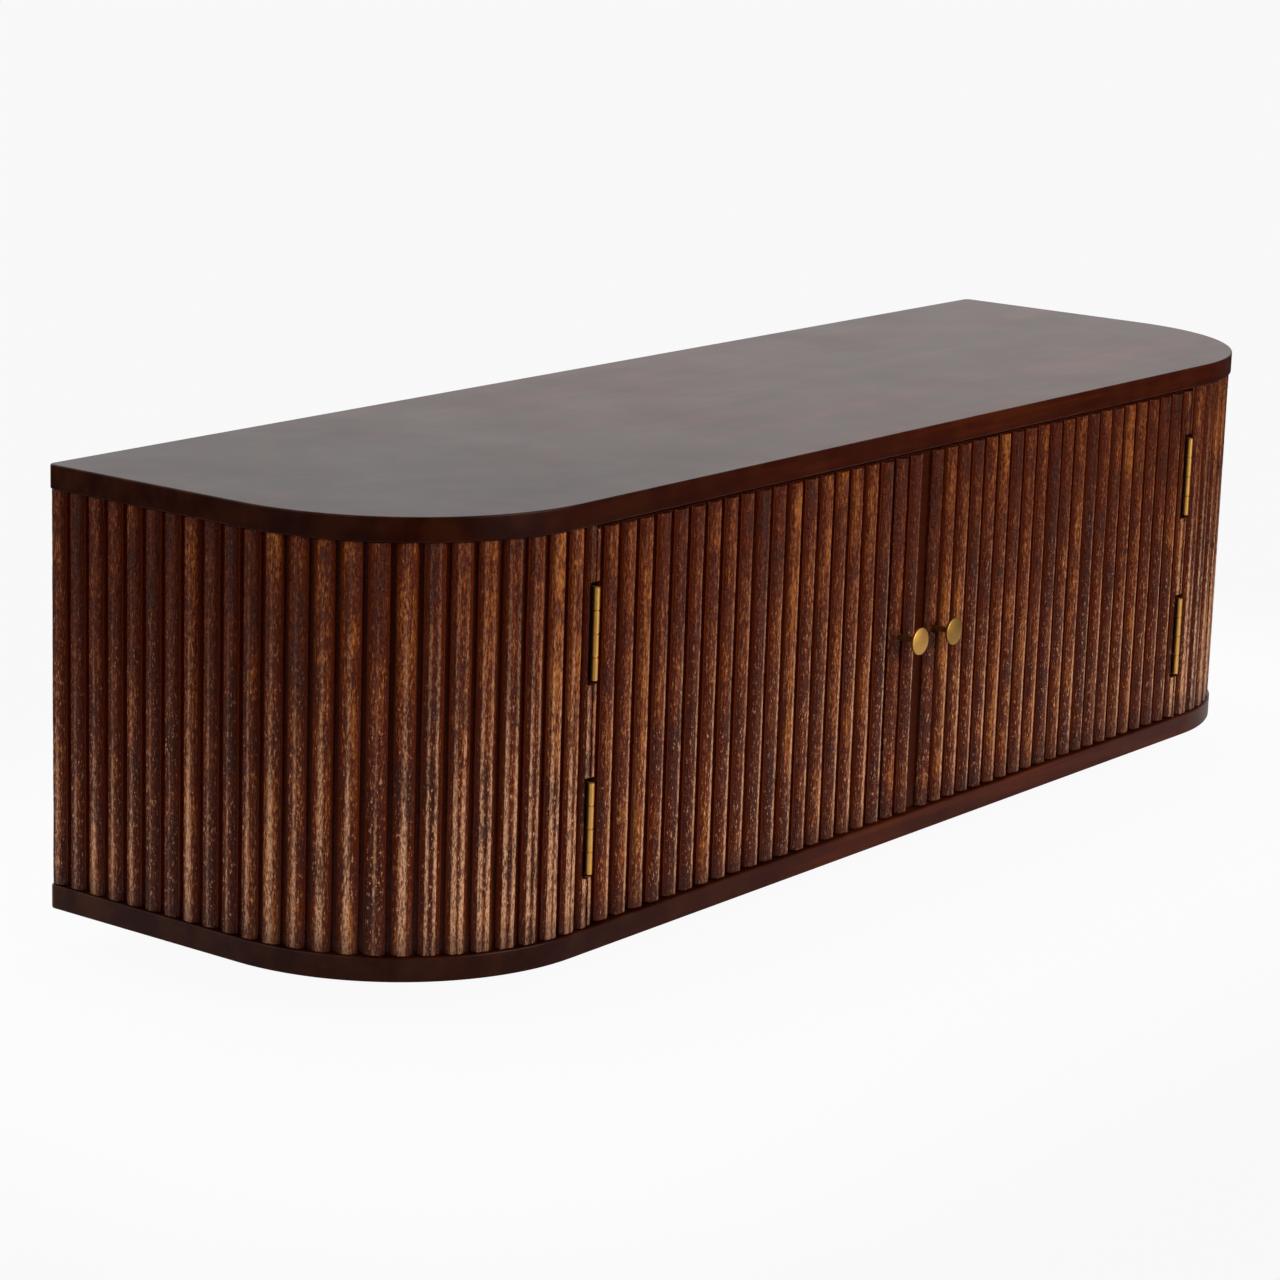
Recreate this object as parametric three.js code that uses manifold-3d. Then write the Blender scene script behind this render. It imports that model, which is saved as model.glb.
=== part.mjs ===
// Floating media console: two boards with rounded front corners hold a reeded case with a pair of doors.
// Millimetres, +Z up, front towards -Y. The origin is the centre of the bottom board's underside.
import * as THREE from 'three';
import { mergeVertices } from 'three/addons/utils/BufferGeometryUtils.js';
import Module from 'manifold-3d';

const wasm = await Module();
wasm.setup();

// Case
const consoleWidth = 1200;
const consoleDepth = 355;
const consoleHeight = 330;
const boardThickness = 18;
const cornerRadius = 166;
const backCornerRadius = 6;
const boardArris = 1.2;
const boardReveal = 1.5;
const boardCornerSteps = 24;
const backCornerSteps = 3;

// Reeded facing
const slatHeight = 6.2;
const slatFlank = 2.6;
const webThickness = 1.6;
const jointSlatWidth = 15.2;
const doorSlatPitch = 20;
const doorGroove = 5.1;
const endSlatPitch = 18.8;
const endGroove = 4;
const facingCornerSteps = 18;
const crownShares = [-1, -0.8, -0.45, 0, 0.45, 0.8, 1];

// End shells, jamb posts, divider
const shellThickness = 12;
const glueLine = 0.3;
const jambDepth = 40;
const dividerThickness = 16;
const dividerStopGap = 0.5;

// Back, hanging rail and batten
const backThickness = 8;
const backRecess = 22;
const backSideGap = 0.5;
const cableHoleRadius = 25;
const cableHoleInset = 300;
const cableHoleHeight = 90;
const cableHoleSides = 24;
const railLength = 1040;
const railHeight = 62;
const battenLength = 640;
const battenHeight = 42;

// Doors
const endFlatWidth = 20;
const jointGap = 1.2;
const meetingGap = 2;
const doorTopGap = 3.2;
const doorBottomGap = 1.5;
const doorBoardThickness = 16;
const bareStrip = 13;

// Hinges
const hingeLength = 68;
const hingeTopDrop = 62;
const hingeBottomHeight = 58;
const barrelRadius = 2.35;
const barrelHole = 1.2;
const barrelProud = 0.5;
const pinRadius = 1.05;
const knuckleCount = 4;
const knuckleGap = 0.3;
const leafThickness = 1;
const leafDepth = 16;
const leafGap = 0.2;
const leafBarrelGap = 0.35;
const leafClearance = 0.25;
const notchMargin = 8;
const barrelSides = 12;

// Hinge screws
const screwHeadRadius = 2.2;
const screwRadius = 1.2;
const screwLength = 12;
const screwTip = 2;
const screwClearance = 0.2;
const screwSides = 10;
const screwHeightShare = 0.29;

// Knobs
const knobOffset = 24;
const knobHeight = 165;
const knobProjection = 20;
const knobRadius = 10.8;
const knobRim = 2.4;
const knobRimEase = 0.6;
const knobStemRadius = 2.1;
const knobCollarRadius = 4;
const knobCollarLength = 5;
const knobFlareLength = 8;
const knobSeatGap = 0.3;
const knobHoleClearance = 0.4;
const knobSides = 24;
const knobScrewRadius = 1.75;
const knobScrewHeadRadius = 4;
const knobScrewHeadHeight = 2.2;
const knobScrewBite = 3.5;
const knobScrewClearance = 0.3;
const knobBoreSpare = 0.7;

// Door catches
const catchLength = 46;
const catchDepth = 16;
const catchHeight = 14;
const catchOffset = 14;
const strikeLength = 38;
const strikeHeight = 12;
const strikeThickness = 1;
const catchGap = 0.5;

// Cuts run this far past what they cut
const overrun = 2;

// Levels and planes worked out from the sizes above
const halfWidth = consoleWidth / 2;
const halfDepth = consoleDepth / 2;
const innerBottom = boardThickness;
const innerTop = consoleHeight - boardThickness;
const innerHeight = innerTop - innerBottom;
const cornerX = halfWidth - cornerRadius;
const cornerY = -halfDepth + cornerRadius;
const crownY = -halfDepth + boardReveal;
const facingBackY = crownY + slatHeight + webThickness;
const facingRadius = cornerRadius - boardReveal - slatHeight;
const shellRadius = facingRadius - webThickness - glueLine;
const hingeX = cornerX - endFlatWidth;
const hingeY = crownY - barrelProud;
const doorBackY = facingBackY + doorBoardThickness;
const doorBottom = innerBottom + doorBottomGap;
const doorHeight = innerTop - doorTopGap - doorBottom;
const backPanelY = halfDepth - backRecess - backThickness;
const halfSlat = jointSlatWidth / 2;

const materials = {
  boardWood: new THREE.MeshStandardMaterial({ color: 0x4a2a1d, roughness: 0.38, metalness: 0 }),
  slatWood: new THREE.MeshStandardMaterial({ color: 0x5e3118, roughness: 0.5, metalness: 0 }),
  caseWood: new THREE.MeshStandardMaterial({ color: 0x3c2216, roughness: 0.6, metalness: 0 }),
  backWood: new THREE.MeshStandardMaterial({ color: 0x3a261b, roughness: 0.7, metalness: 0 }),
  railWood: new THREE.MeshStandardMaterial({ color: 0x8a6a48, roughness: 0.75, metalness: 0 }),
  brass: new THREE.MeshStandardMaterial({ color: 0xc79a4e, roughness: 0.28, metalness: 1 }),
  steel: new THREE.MeshStandardMaterial({ color: 0x9b9c9e, roughness: 0.4, metalness: 1 }),
  catchPlastic: new THREE.MeshStandardMaterial({ color: 0x1c1b1a, roughness: 0.6, metalness: 0 }),
};

// Solids: a closed three.js geometry becomes a manifold for cutting and joining, and comes back clean
function solidOf(geometry) {
  const bare = geometry.clone();
  bare.deleteAttribute('normal');
  bare.deleteAttribute('uv');
  const merged = mergeVertices(bare);
  const corners = merged.index.array;
  const kept = [];
  for (let i = 0; i < corners.length; i += 3) {
    const [a, b, c] = [corners[i], corners[i + 1], corners[i + 2]];
    if (a !== b && b !== c && c !== a) kept.push(a, b, c);
  }
  return new wasm.Manifold(new wasm.Mesh({
    numProp: 3,
    vertProperties: new Float32Array(merged.attributes.position.array),
    triVerts: new Uint32Array(kept),
  }));
}

function geometryOf(solid) {
  const mesh = solid.getMesh();
  const geometry = new THREE.BufferGeometry();
  geometry.setAttribute('position', new THREE.BufferAttribute(mesh.vertProperties, 3));
  geometry.setIndex(new THREE.BufferAttribute(mesh.triVerts, 1));
  geometry.computeVertexNormals();
  return geometry;
}

function carve(geometry, cuts) {
  let solid = solidOf(geometry);
  for (const cut of cuts) solid = solid.subtract(solidOf(cut));
  return geometryOf(solid);
}

function join(pieces) {
  let solid = solidOf(pieces[0]);
  for (const piece of pieces.slice(1)) solid = solid.add(solidOf(piece));
  return geometryOf(solid);
}

// A block from one corner to the opposite one
function block(low, high) {
  const size = high.map((value, i) => value - low[i]);
  const middle = high.map((value, i) => (value + low[i]) / 2);
  return new THREE.BoxGeometry(...size).translate(...middle);
}

// The same block on the left (side -1) or the right (side 1), its X given outwards from the centre
function sideBlock(side, low, high) {
  const [near, far] = side > 0 ? [low[0], high[0]] : [-high[0], -low[0]];
  return block([near, low[1], low[2]], [far, high[1], high[2]]);
}

// A prism on a plan outline, from its bottom upwards
function prism(outline, bottom, height, holes = []) {
  const shape = new THREE.Shape(outline);
  shape.holes = holes.map((hole) => new THREE.Path(hole));
  const options = { depth: height, bevelEnabled: false };
  return new THREE.ExtrudeGeometry(shape, options).translate(0, 0, bottom);
}

function circlePoints(radius, sides) {
  return Array.from({ length: sides }, (_, i) => {
    const turn = (i / sides) * Math.PI * 2;
    return new THREE.Vector2(radius * Math.cos(turn), radius * Math.sin(turn));
  });
}

function arcPoints(x, y, radius, from, to, steps) {
  return Array.from({ length: steps + 1 }, (_, i) => {
    const turn = from + ((to - from) * i) / steps;
    return new THREE.Vector2(x + radius * Math.cos(turn), y + radius * Math.sin(turn));
  });
}

// A turned piece about the Y axis, its profile as pairs of radius and height
function turned(profile, sides) {
  return new THREE.LatheGeometry(profile.map(([r, h]) => new THREE.Vector2(r, h)), sides);
}

const mirrorX = (points) => points.map((p) => new THREE.Vector2(-p.x, p.y));

// Top and bottom boards
function boardOutline() {
  const backX = halfWidth - backCornerRadius;
  const backY = halfDepth - backCornerRadius;
  const right = [
    ...arcPoints(cornerX, cornerY, cornerRadius, -Math.PI / 2, 0, boardCornerSteps),
    ...arcPoints(backX, backY, backCornerRadius, 0, Math.PI / 2, backCornerSteps),
  ];
  return [...right, ...mirrorX(right).reverse()];
}

function boardGeometry() {
  const options = {
    depth: boardThickness - 2 * boardArris,
    bevelThickness: boardArris,
    bevelSize: boardArris,
    bevelOffset: -boardArris,
    bevelSegments: 1,
  };
  const board = new THREE.ExtrudeGeometry(new THREE.Shape(boardOutline()), options);
  return geometryOf(solidOf(board.translate(0, 0, boardArris)));
}

// One slat's section as pairs of place along the facing and height above its web
function slatSection(middle, width, shares = crownShares) {
  const crown = slatHeight - slatFlank;
  const points = shares.map((share) => [
    middle + (share * width) / 2,
    slatFlank + crown * Math.sqrt(1 - share * share),
  ]);
  return [[points[0][0], 0], ...points, [points[points.length - 1][0], 0]];
}

// Slats side by side, each followed by a groove, over a run of the facing
function slatRun(start, length, pitch, groove) {
  const count = Math.max(1, Math.round(length / pitch));
  const step = length / count;
  return Array.from({ length: count }, (_, i) => {
    const width = step - groove;
    return slatSection(start + i * step + width / 2, width);
  }).flat();
}

// The slat over the joint is split by it: this is the share of its half width that the gap takes
const jointShare = jointGap / jointSlatWidth;
const halfSlatShares = [jointShare, ...crownShares.filter((share) => share > 0)];

// Reeded facing of an end: up the side, round the corner and along the front to the joint
const sideRun = halfDepth - cornerY;
const cornerRun = (facingRadius * Math.PI) / 2;

function endPoint(along, height) {
  const radius = facingRadius + height;
  if (along <= sideRun) return new THREE.Vector2(cornerX + radius, halfDepth - along);
  if (along <= sideRun + cornerRun) {
    const turn = (sideRun - along) / facingRadius;
    return new THREE.Vector2(cornerX + radius * Math.cos(turn), cornerY + radius * Math.sin(turn));
  }
  return new THREE.Vector2(cornerX - (along - sideRun - cornerRun), cornerY - radius);
}

function endFacingOutline() {
  const total = sideRun + cornerRun + endFlatWidth;
  const last = slatSection(total, jointSlatWidth, halfSlatShares.map((share) => -share).reverse());
  const outer = [...slatRun(0, total - halfSlat, endSlatPitch, endGroove), ...last];
  const inner = arcPoints(cornerX, cornerY, facingRadius - webThickness, -Math.PI / 2, 0, facingCornerSteps);
  const edgeX = hingeX + jointGap / 2;
  return [
    ...outer.map(([along, height]) => endPoint(along, height)),
    new THREE.Vector2(edgeX, facingBackY),
    ...inner,
    new THREE.Vector2(cornerX + facingRadius - webThickness, halfDepth),
  ];
}

// Places of a side's two hinges, each as its middle height
const hingeMiddles = {
  upper: consoleHeight - hingeTopDrop - hingeLength / 2,
  lower: hingeBottomHeight + hingeLength / 2,
};

// The slat over the joint is cut away beside each hinge
function notchCuts(side) {
  return Object.values(hingeMiddles).map((middle) => {
    const reach = hingeLength / 2 + notchMargin;
    return sideBlock(
      side,
      [hingeX - halfSlat - leafClearance, crownY - overrun, middle - reach],
      [hingeX + halfSlat + leafClearance, facingBackY + overrun, middle + reach],
    );
  });
}

function endFacing(side) {
  const outline = endFacingOutline();
  return carve(prism(side > 0 ? outline : mirrorX(outline), innerBottom, innerHeight), notchCuts(side));
}

// Bent shell behind an end's facing, from the back to the jamb post
function endShell(side) {
  const outer = arcPoints(cornerX, cornerY, shellRadius, -Math.PI / 2, 0, facingCornerSteps);
  const innerRadius = shellRadius - shellThickness;
  const inner = arcPoints(cornerX, cornerY, innerRadius, 0, -Math.PI / 2, facingCornerSteps);
  const outline = [
    ...outer,
    new THREE.Vector2(cornerX + shellRadius, halfDepth),
    new THREE.Vector2(cornerX + innerRadius, halfDepth),
    ...inner,
  ];
  return geometryOf(solidOf(prism(side > 0 ? outline : mirrorX(outline), innerBottom, innerHeight)));
}

// Pockets that let the hinge leaves into an edge, and the holes for their screws
const leafOuter = leafGap / 2 + leafThickness;
const screwY = (facingBackY + hingeY + leafDepth) / 2;

function leafPocket(side, outward) {
  const near = hingeX + outward * (leafGap / 2 - leafClearance);
  const far = hingeX + outward * (leafOuter + leafClearance);
  const floor = hingeY + leafDepth + leafClearance;
  return Object.values(hingeMiddles).map((middle) => {
    const reach = hingeLength / 2 + leafClearance;
    const low = [Math.min(near, far), facingBackY - overrun, middle - reach];
    return sideBlock(side, low, [Math.max(near, far), floor, middle + reach]);
  });
}

// Half section of a countersunk screw, or with some spare the hole that clears it
function hingeScrewProfile(spare) {
  const headRadius = screwHeadRadius + spare;
  const end = screwLength + spare;
  const mouth = spare > 0 ? [[0, -spare], [headRadius, -spare]] : [[0, 0]];
  return [
    ...mouth,
    [headRadius, 0],
    [screwRadius + spare, leafThickness],
    [screwRadius + spare, end - screwTip],
    [0, end],
  ];
}

const screwHeights = [-screwHeightShare * hingeLength, screwHeightShare * hingeLength];

// Holes of the hinge screws as they run outwards (1) or inwards (-1) from the joint
function screwCuts(side, outward) {
  return Object.values(hingeMiddles).flatMap((middle) => screwHeights.map((height) => {
    const cut = turned(hingeScrewProfile(screwClearance), screwSides);
    cut.rotateZ(-side * outward * Math.PI / 2);
    return cut.translate(side * (hingeX + outward * leafGap / 2), screwY, middle + height);
  }));
}

function jambPost(side) {
  const low = [hingeX + jointGap / 2, facingBackY, innerBottom];
  const high = [cornerX - glueLine, facingBackY + jambDepth, innerTop];
  return carve(sideBlock(side, low, high), [...leafPocket(side, 1), ...screwCuts(side, 1)]);
}

// Doors
const meetingX = meetingGap / 2;
const doorEdgeX = hingeX - jointGap / 2;

function doorFacingOutline(side) {
  const strip = side > 0 ? bareStrip : 0;
  const length = hingeX - halfSlat - meetingX - strip;
  const joint = slatSection(0, jointSlatWidth, halfSlatShares);
  const slats = slatRun(meetingX + strip, length, doorSlatPitch, doorGroove);
  const start = strip > 0 ? [[meetingX, 0]] : [];
  const end = joint.map(([along, height]) => [hingeX - along, height]).reverse();
  const front = [...start, ...slats, ...end].map(([x, h]) => new THREE.Vector2(x, crownY + slatHeight - h));
  return [...front, new THREE.Vector2(doorEdgeX, facingBackY), new THREE.Vector2(meetingX, facingBackY)];
}

function knobHole(side, radius, sides) {
  const length = slatHeight + webThickness + doorBoardThickness + 2 * overrun;
  const hole = new THREE.CylinderGeometry(radius, radius, length, sides);
  return hole.translate(side * knobOffset, crownY - overrun + length / 2, knobHeight);
}

function doorFacing(side) {
  const outline = doorFacingOutline(side);
  const panel = prism(side > 0 ? outline : mirrorX(outline), doorBottom, doorHeight);
  return carve(panel, [...notchCuts(side), knobHole(side, knobCollarRadius + knobHoleClearance, knobSides)]);
}

function doorBoard(side) {
  const low = [meetingX, facingBackY, doorBottom];
  const high = [doorEdgeX, doorBackY, doorBottom + doorHeight];
  const cuts = [
    ...leafPocket(side, -1),
    ...screwCuts(side, -1),
    knobHole(side, knobScrewRadius + knobScrewClearance, screwSides),
  ];
  return carve(sideBlock(side, low, high), cuts);
}

// Knobs, turned about Y with the seat at 0 and the face outwards. The collar stays below the slats' crowns
const knobLength = slatHeight + webThickness - knobSeatGap + knobProjection;

function knobGeometry() {
  const bore = knobScrewRadius + knobScrewClearance;
  const boreDepth = knobScrewBite + knobBoreSpare;
  const rimBack = knobLength - knobRim;
  const profile = [
    [0, boreDepth],
    [bore, boreDepth],
    [bore, 0],
    [knobCollarRadius, 0],
    [knobCollarRadius, knobCollarLength - knobRimEase],
    [knobCollarRadius - knobRimEase, knobCollarLength],
    [knobStemRadius, knobCollarLength],
    [knobStemRadius, rimBack - knobFlareLength],
    [knobRadius - knobRimEase, rimBack],
    [knobRadius, rimBack + knobRimEase],
    [knobRadius, knobLength - knobRimEase],
    [knobRadius - knobRimEase, knobLength],
    [0, knobLength],
  ];
  return geometryOf(solidOf(turned(profile, knobSides).rotateX(Math.PI)));
}

function knobScrewGeometry() {
  const length = doorBoardThickness + knobSeatGap + knobScrewBite;
  const profile = [
    [0, -knobScrewHeadHeight],
    [knobScrewHeadRadius, -knobScrewHeadHeight],
    [knobScrewHeadRadius, 0],
    [knobScrewRadius, 0],
    [knobScrewRadius, length],
    [0, length],
  ];
  return geometryOf(solidOf(turned(profile, screwSides).rotateX(Math.PI)));
}

// A hinge about its own axis: X towards the door, Y to the back, Z up from its middle height
function leafGeometry(outward, firstKnuckle) {
  const step = hingeLength / knuckleCount;
  const plateX = [outward * leafGap / 2, outward * leafOuter].sort((a, b) => a - b);
  const bottom = -hingeLength / 2;
  const plateY = barrelRadius + leafBarrelGap;
  const pieces = [block([plateX[0], plateY, bottom], [plateX[1], leafDepth, -bottom])];
  for (let i = firstKnuckle; i < knuckleCount; i += 2) {
    const low = bottom + i * step + knuckleGap / 2;
    const high = low + step - knuckleGap;
    const rim = [circlePoints(barrelRadius, barrelSides), circlePoints(barrelHole, barrelSides)];
    pieces.push(prism(rim[0], low, high - low, [rim[1]]));
    const tabY = (barrelRadius + barrelHole) / 2;
    pieces.push(block([plateX[0], tabY, low], [plateX[1], plateY + leafThickness, high]));
  }
  const holes = screwHeights.map((height) => {
    const cut = turned(hingeScrewProfile(screwClearance), screwSides).rotateZ(-outward * Math.PI / 2);
    return cut.translate(outward * leafGap / 2, screwY - hingeY, height);
  });
  return carve(join(pieces), holes);
}

function pinGeometry() {
  return geometryOf(solidOf(new THREE.CylinderGeometry(pinRadius, pinRadius, hingeLength, barrelSides)
    .rotateX(Math.PI / 2)));
}

function hingeScrewGeometry(outward) {
  return geometryOf(solidOf(turned(hingeScrewProfile(0), screwSides).rotateZ(-outward * Math.PI / 2)));
}

// The whole console
const mediaConsole = new THREE.Group();

function piece(name, geometry, material, parent = mediaConsole) {
  const mesh = new THREE.Mesh(geometry, material);
  mesh.name = name;
  parent.add(mesh);
  return mesh;
}

function addHinge(side, sideName, heightName) {
  const hinge = new THREE.Group();
  hinge.position.set(side * hingeX, hingeY, hingeMiddles[heightName]);
  if (side > 0) hinge.rotation.y = Math.PI;
  mediaConsole.add(hinge);
  const name = `${sideName}_${heightName}_hinge`;
  piece(`${name}_frame_leaf`, leafGeometry(-1, 0), materials.brass, hinge);
  piece(`${name}_door_leaf`, leafGeometry(1, 1), materials.brass, hinge);
  piece(`${name}_pin`, pinGeometry(), materials.brass, hinge);
  for (const [leafName, outward] of [['frame', -1], ['door', 1]]) {
    screwHeights.forEach((height, i) => {
      const screw = piece(`${name}_${leafName}_screw_${i + 1}`, hingeScrewGeometry(outward), materials.brass, hinge);
      screw.position.set(outward * leafGap / 2, screwY - hingeY, height);
    });
  }
}

function addCatch(side, sideName) {
  const inner = catchOffset;
  const catchFront = doorBackY + strikeThickness + catchGap;
  const body = sideBlock(
    side,
    [inner, catchFront, innerTop - catchHeight],
    [inner + catchLength, catchFront + catchDepth, innerTop],
  );
  piece(`${sideName}_catch`, body, materials.catchPlastic);
  const strikeX = inner + (catchLength - strikeLength) / 2;
  const strikeTop = doorBottom + doorHeight - (catchHeight - strikeHeight) / 2;
  const strike = sideBlock(
    side,
    [strikeX, doorBackY, strikeTop - strikeHeight],
    [strikeX + strikeLength, doorBackY + strikeThickness, strikeTop],
  );
  piece(`${sideName}_strike_plate`, strike, materials.steel);
}

for (const [name, height] of [['bottom_board', 0], ['top_board', innerTop]]) {
  piece(name, boardGeometry(), materials.boardWood).position.z = height;
}

for (const [side, sideName] of [[-1, 'left'], [1, 'right']]) {
  piece(`${sideName}_end_facing`, endFacing(side), materials.slatWood);
  piece(`${sideName}_end_shell`, endShell(side), materials.caseWood);
  piece(`${sideName}_jamb_post`, jambPost(side), materials.caseWood);
  piece(`${sideName}_door_facing`, doorFacing(side), materials.slatWood);
  piece(`${sideName}_door_board`, doorBoard(side), materials.caseWood);
  const knob = piece(`${sideName}_knob`, knobGeometry(), materials.brass);
  knob.position.set(side * knobOffset, facingBackY - knobSeatGap, knobHeight);
  const knobScrew = piece(`${sideName}_knob_screw`, knobScrewGeometry(), materials.steel);
  knobScrew.position.set(side * knobOffset, doorBackY, knobHeight);
  addCatch(side, sideName);
  for (const heightName of Object.keys(hingeMiddles)) addHinge(side, sideName, heightName);
}

const dividerFront = doorBackY + dividerStopGap;
piece('centre_divider', block(
  [-dividerThickness / 2, dividerFront, innerBottom],
  [dividerThickness / 2, backPanelY, innerTop],
), materials.caseWood);

const backHalf = cornerX + shellRadius - shellThickness - backSideGap;
const backPanel = block([-backHalf, backPanelY, innerBottom], [backHalf, backPanelY + backThickness, innerTop]);
const cableHoles = [-1, 1].map((side) => {
  const length = backThickness + 2 * overrun;
  const hole = new THREE.CylinderGeometry(cableHoleRadius, cableHoleRadius, length, cableHoleSides);
  return hole.translate(side * cableHoleInset, backPanelY + backThickness / 2, cableHoleHeight);
});
piece('back_panel', carve(backPanel, cableHoles), materials.backWood);

// The hanging rail's lower edge slopes down to the wall, to hook over a rail on the wall
const railFront = backPanelY + backThickness;
const railOutline = [
  [railFront, innerTop],
  [halfDepth, innerTop],
  [halfDepth, innerTop - railHeight],
  [railFront, innerTop - railHeight + backRecess],
].map(([y, z]) => new THREE.Vector2(y, z));
const rail = prism(railOutline, -railLength / 2, railLength);
rail.applyMatrix4(new THREE.Matrix4().makeBasis(
  new THREE.Vector3(0, 1, 0),
  new THREE.Vector3(0, 0, 1),
  new THREE.Vector3(1, 0, 0),
));
piece('hanging_rail', geometryOf(solidOf(rail)), materials.railWood);

piece('wall_batten', block(
  [-battenLength / 2, railFront, innerBottom],
  [battenLength / 2, halfDepth, innerBottom + battenHeight],
), materials.railWood);

export default mediaConsole;
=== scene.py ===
# Looks of the floating media console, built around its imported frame.
# Metres, +Z up, front towards -Y. The origin is the centre of the bottom board's underside.
import math
import random

import bmesh
import bpy
from mathutils import Matrix, Vector, noise


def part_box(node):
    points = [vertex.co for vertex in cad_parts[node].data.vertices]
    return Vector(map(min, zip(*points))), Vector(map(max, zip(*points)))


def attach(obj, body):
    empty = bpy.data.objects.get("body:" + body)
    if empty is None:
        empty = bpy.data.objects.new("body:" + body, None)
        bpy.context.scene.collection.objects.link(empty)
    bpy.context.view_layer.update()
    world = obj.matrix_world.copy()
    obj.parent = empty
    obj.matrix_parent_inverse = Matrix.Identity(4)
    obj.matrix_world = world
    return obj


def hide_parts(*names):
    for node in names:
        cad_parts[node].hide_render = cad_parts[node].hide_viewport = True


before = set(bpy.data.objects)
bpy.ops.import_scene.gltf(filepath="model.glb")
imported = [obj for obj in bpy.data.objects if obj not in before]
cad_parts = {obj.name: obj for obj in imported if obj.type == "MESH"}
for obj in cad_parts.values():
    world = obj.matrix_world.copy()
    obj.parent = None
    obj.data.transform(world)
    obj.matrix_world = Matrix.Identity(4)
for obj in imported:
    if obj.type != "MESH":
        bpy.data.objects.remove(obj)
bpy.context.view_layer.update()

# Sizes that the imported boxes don't give
corner_radius = 0.166
back_corner_radius = 0.006
board_arris = 0.0012
slat_height = 0.0062
slat_flank = 0.0026
joint_slat_width = 0.0152
joint_gap = 0.0012
door_slat_pitch = 0.020
door_groove = 0.0051
end_slat_pitch = 0.0188
end_groove = 0.004
bare_strip = 0.013
shell_thickness = 0.012
notch_margin = 0.003
notch_reach = 0.0054
cable_hole_radius = 0.025
cable_hole_x = 0.3
cable_hole_z = 0.09
round_steps = 48
ease_steps = 2
soft_ease_steps = 3
crease_angle = math.radians(40)
metal_crease_angle = math.radians(30)
shell_crease_angle = math.radians(20)
ease_angle = math.radians(35)

# Places taken from the frame
side_signs = {"left": -1, "right": 1}
board_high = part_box("bottom_board")[1]
half_width, half_depth = board_high.x, board_high.y
corner_x = half_width - corner_radius
corner_y = corner_radius - half_depth
door_low, door_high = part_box("right_door_facing")
end_low, end_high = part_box("right_end_facing")
web_y = door_low.y + slat_height
web_thickness = door_high.y - web_y
meeting_x, door_edge_x = door_low.x, door_high.x
joint_x = door_edge_x + joint_gap / 2
facing_radius = end_high.x - corner_x - slat_height
side_run = half_depth - corner_y
corner_run = facing_radius * math.pi / 2
end_run = side_run + corner_run + corner_x - joint_x
hinge_boxes = [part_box(f"right_{level}_hinge_pin") for level in ("lower", "upper")]
notches = [(low.z - notch_margin, high.z + notch_margin) for low, high in hinge_boxes]
knob_low, knob_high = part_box("right_knob")
knob_x, knob_z = (knob_low.x + knob_high.x) / 2, (knob_low.z + knob_high.z) / 2
pin_low, pin_high = hinge_boxes[0]
hinge_x, hinge_y = (pin_low.x + pin_high.x) / 2, (pin_low.y + pin_high.y) / 2


# Meshes: points and faces are gathered shell by shell, then made into one object
class Shells:
    def __init__(self):
        self.points, self.faces, self.values = [], [], {}

    def add(self, points, faces, **values):
        """One closed shell. Values are kept for each of its points, for the materials to read."""
        start = len(self.points)
        self.points += points
        self.faces += [[start + corner for corner in face] for face in faces]
        for name, value in values.items():
            column = self.values.setdefault(name, [])
            column += value if isinstance(value, list) else [value] * len(points)

    def loft(self, rings, tube=False, **values):
        """A closed shell through rings of as many points each. It is capped at both ends, or, as a tube
        with a bore, leads back to its first ring."""
        size = len(rings[0])
        points = [point for ring in rings for point in ring]
        last = len(points) - size
        faces = [] if tube else [list(range(size)), list(range(last, len(points)))]
        for row in range(len(rings) if tube else len(rings) - 1):
            far = size if row < len(rings) - 1 else -last
            for i in range(size):
                a, b = row * size + i, row * size + (i + 1) % size
                faces.append([a, b, b + far, a + far])
        self.add(points, faces, **values)

    def take(self, piece, **values):
        """Takes over another piece's mesh."""
        mesh = piece.data
        faces = [list(face.vertices) for face in mesh.polygons]
        self.add([tuple(point.co) for point in mesh.vertices], faces, **values)
        bpy.data.objects.remove(piece)

    def made(self, name, crease=crease_angle):
        """An object of the shells, its faces facing out and smooth but for its creases."""
        mesh = bpy.data.meshes.new(name)
        mesh.from_pydata(self.points, [], self.faces)
        for key, column in self.values.items():
            mesh.attributes.new(key, "FLOAT", "POINT").data.foreach_set("value", column)
        work = bmesh.new()
        work.from_mesh(mesh)
        bmesh.ops.recalc_face_normals(work, faces=work.faces)
        work.to_mesh(mesh)
        work.free()
        mesh.shade_smooth()
        mesh.set_sharp_from_angle(angle=crease)
        piece = bpy.data.objects.new(name, mesh)
        bpy.context.scene.collection.objects.link(piece)
        return piece


def dress(piece, slot, body, *nodes):
    """Gives a piece its slot's finish, the body that it rides on and the nodes that it stands for."""
    piece.data.materials.clear()
    piece.data.materials.append(finishes[slot])
    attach(piece, body)
    if nodes:
        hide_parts(*nodes)
    return piece


def turned_rings(profile, steps):
    """Rings of a piece turned about Z, its profile as pairs of radius and height."""
    turns = [2 * math.pi * i / steps for i in range(steps)]
    return [[(r * math.cos(t), r * math.sin(t), z) for t in turns] for r, z in profile]


def cut(piece, *cutters):
    """Cuts the cutters out of the piece, and takes them away."""
    for cutter in cutters:
        modifier = piece.modifiers.new("cut", "BOOLEAN")
        modifier.object = cutter
        modifier.solver = "EXACT"
    graph = bpy.context.evaluated_depsgraph_get()
    mesh = bpy.data.meshes.new_from_object(piece.evaluated_get(graph))
    piece.modifiers.clear()
    piece.data = mesh
    for cutter in cutters:
        bpy.data.objects.remove(cutter)
    return piece


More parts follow.
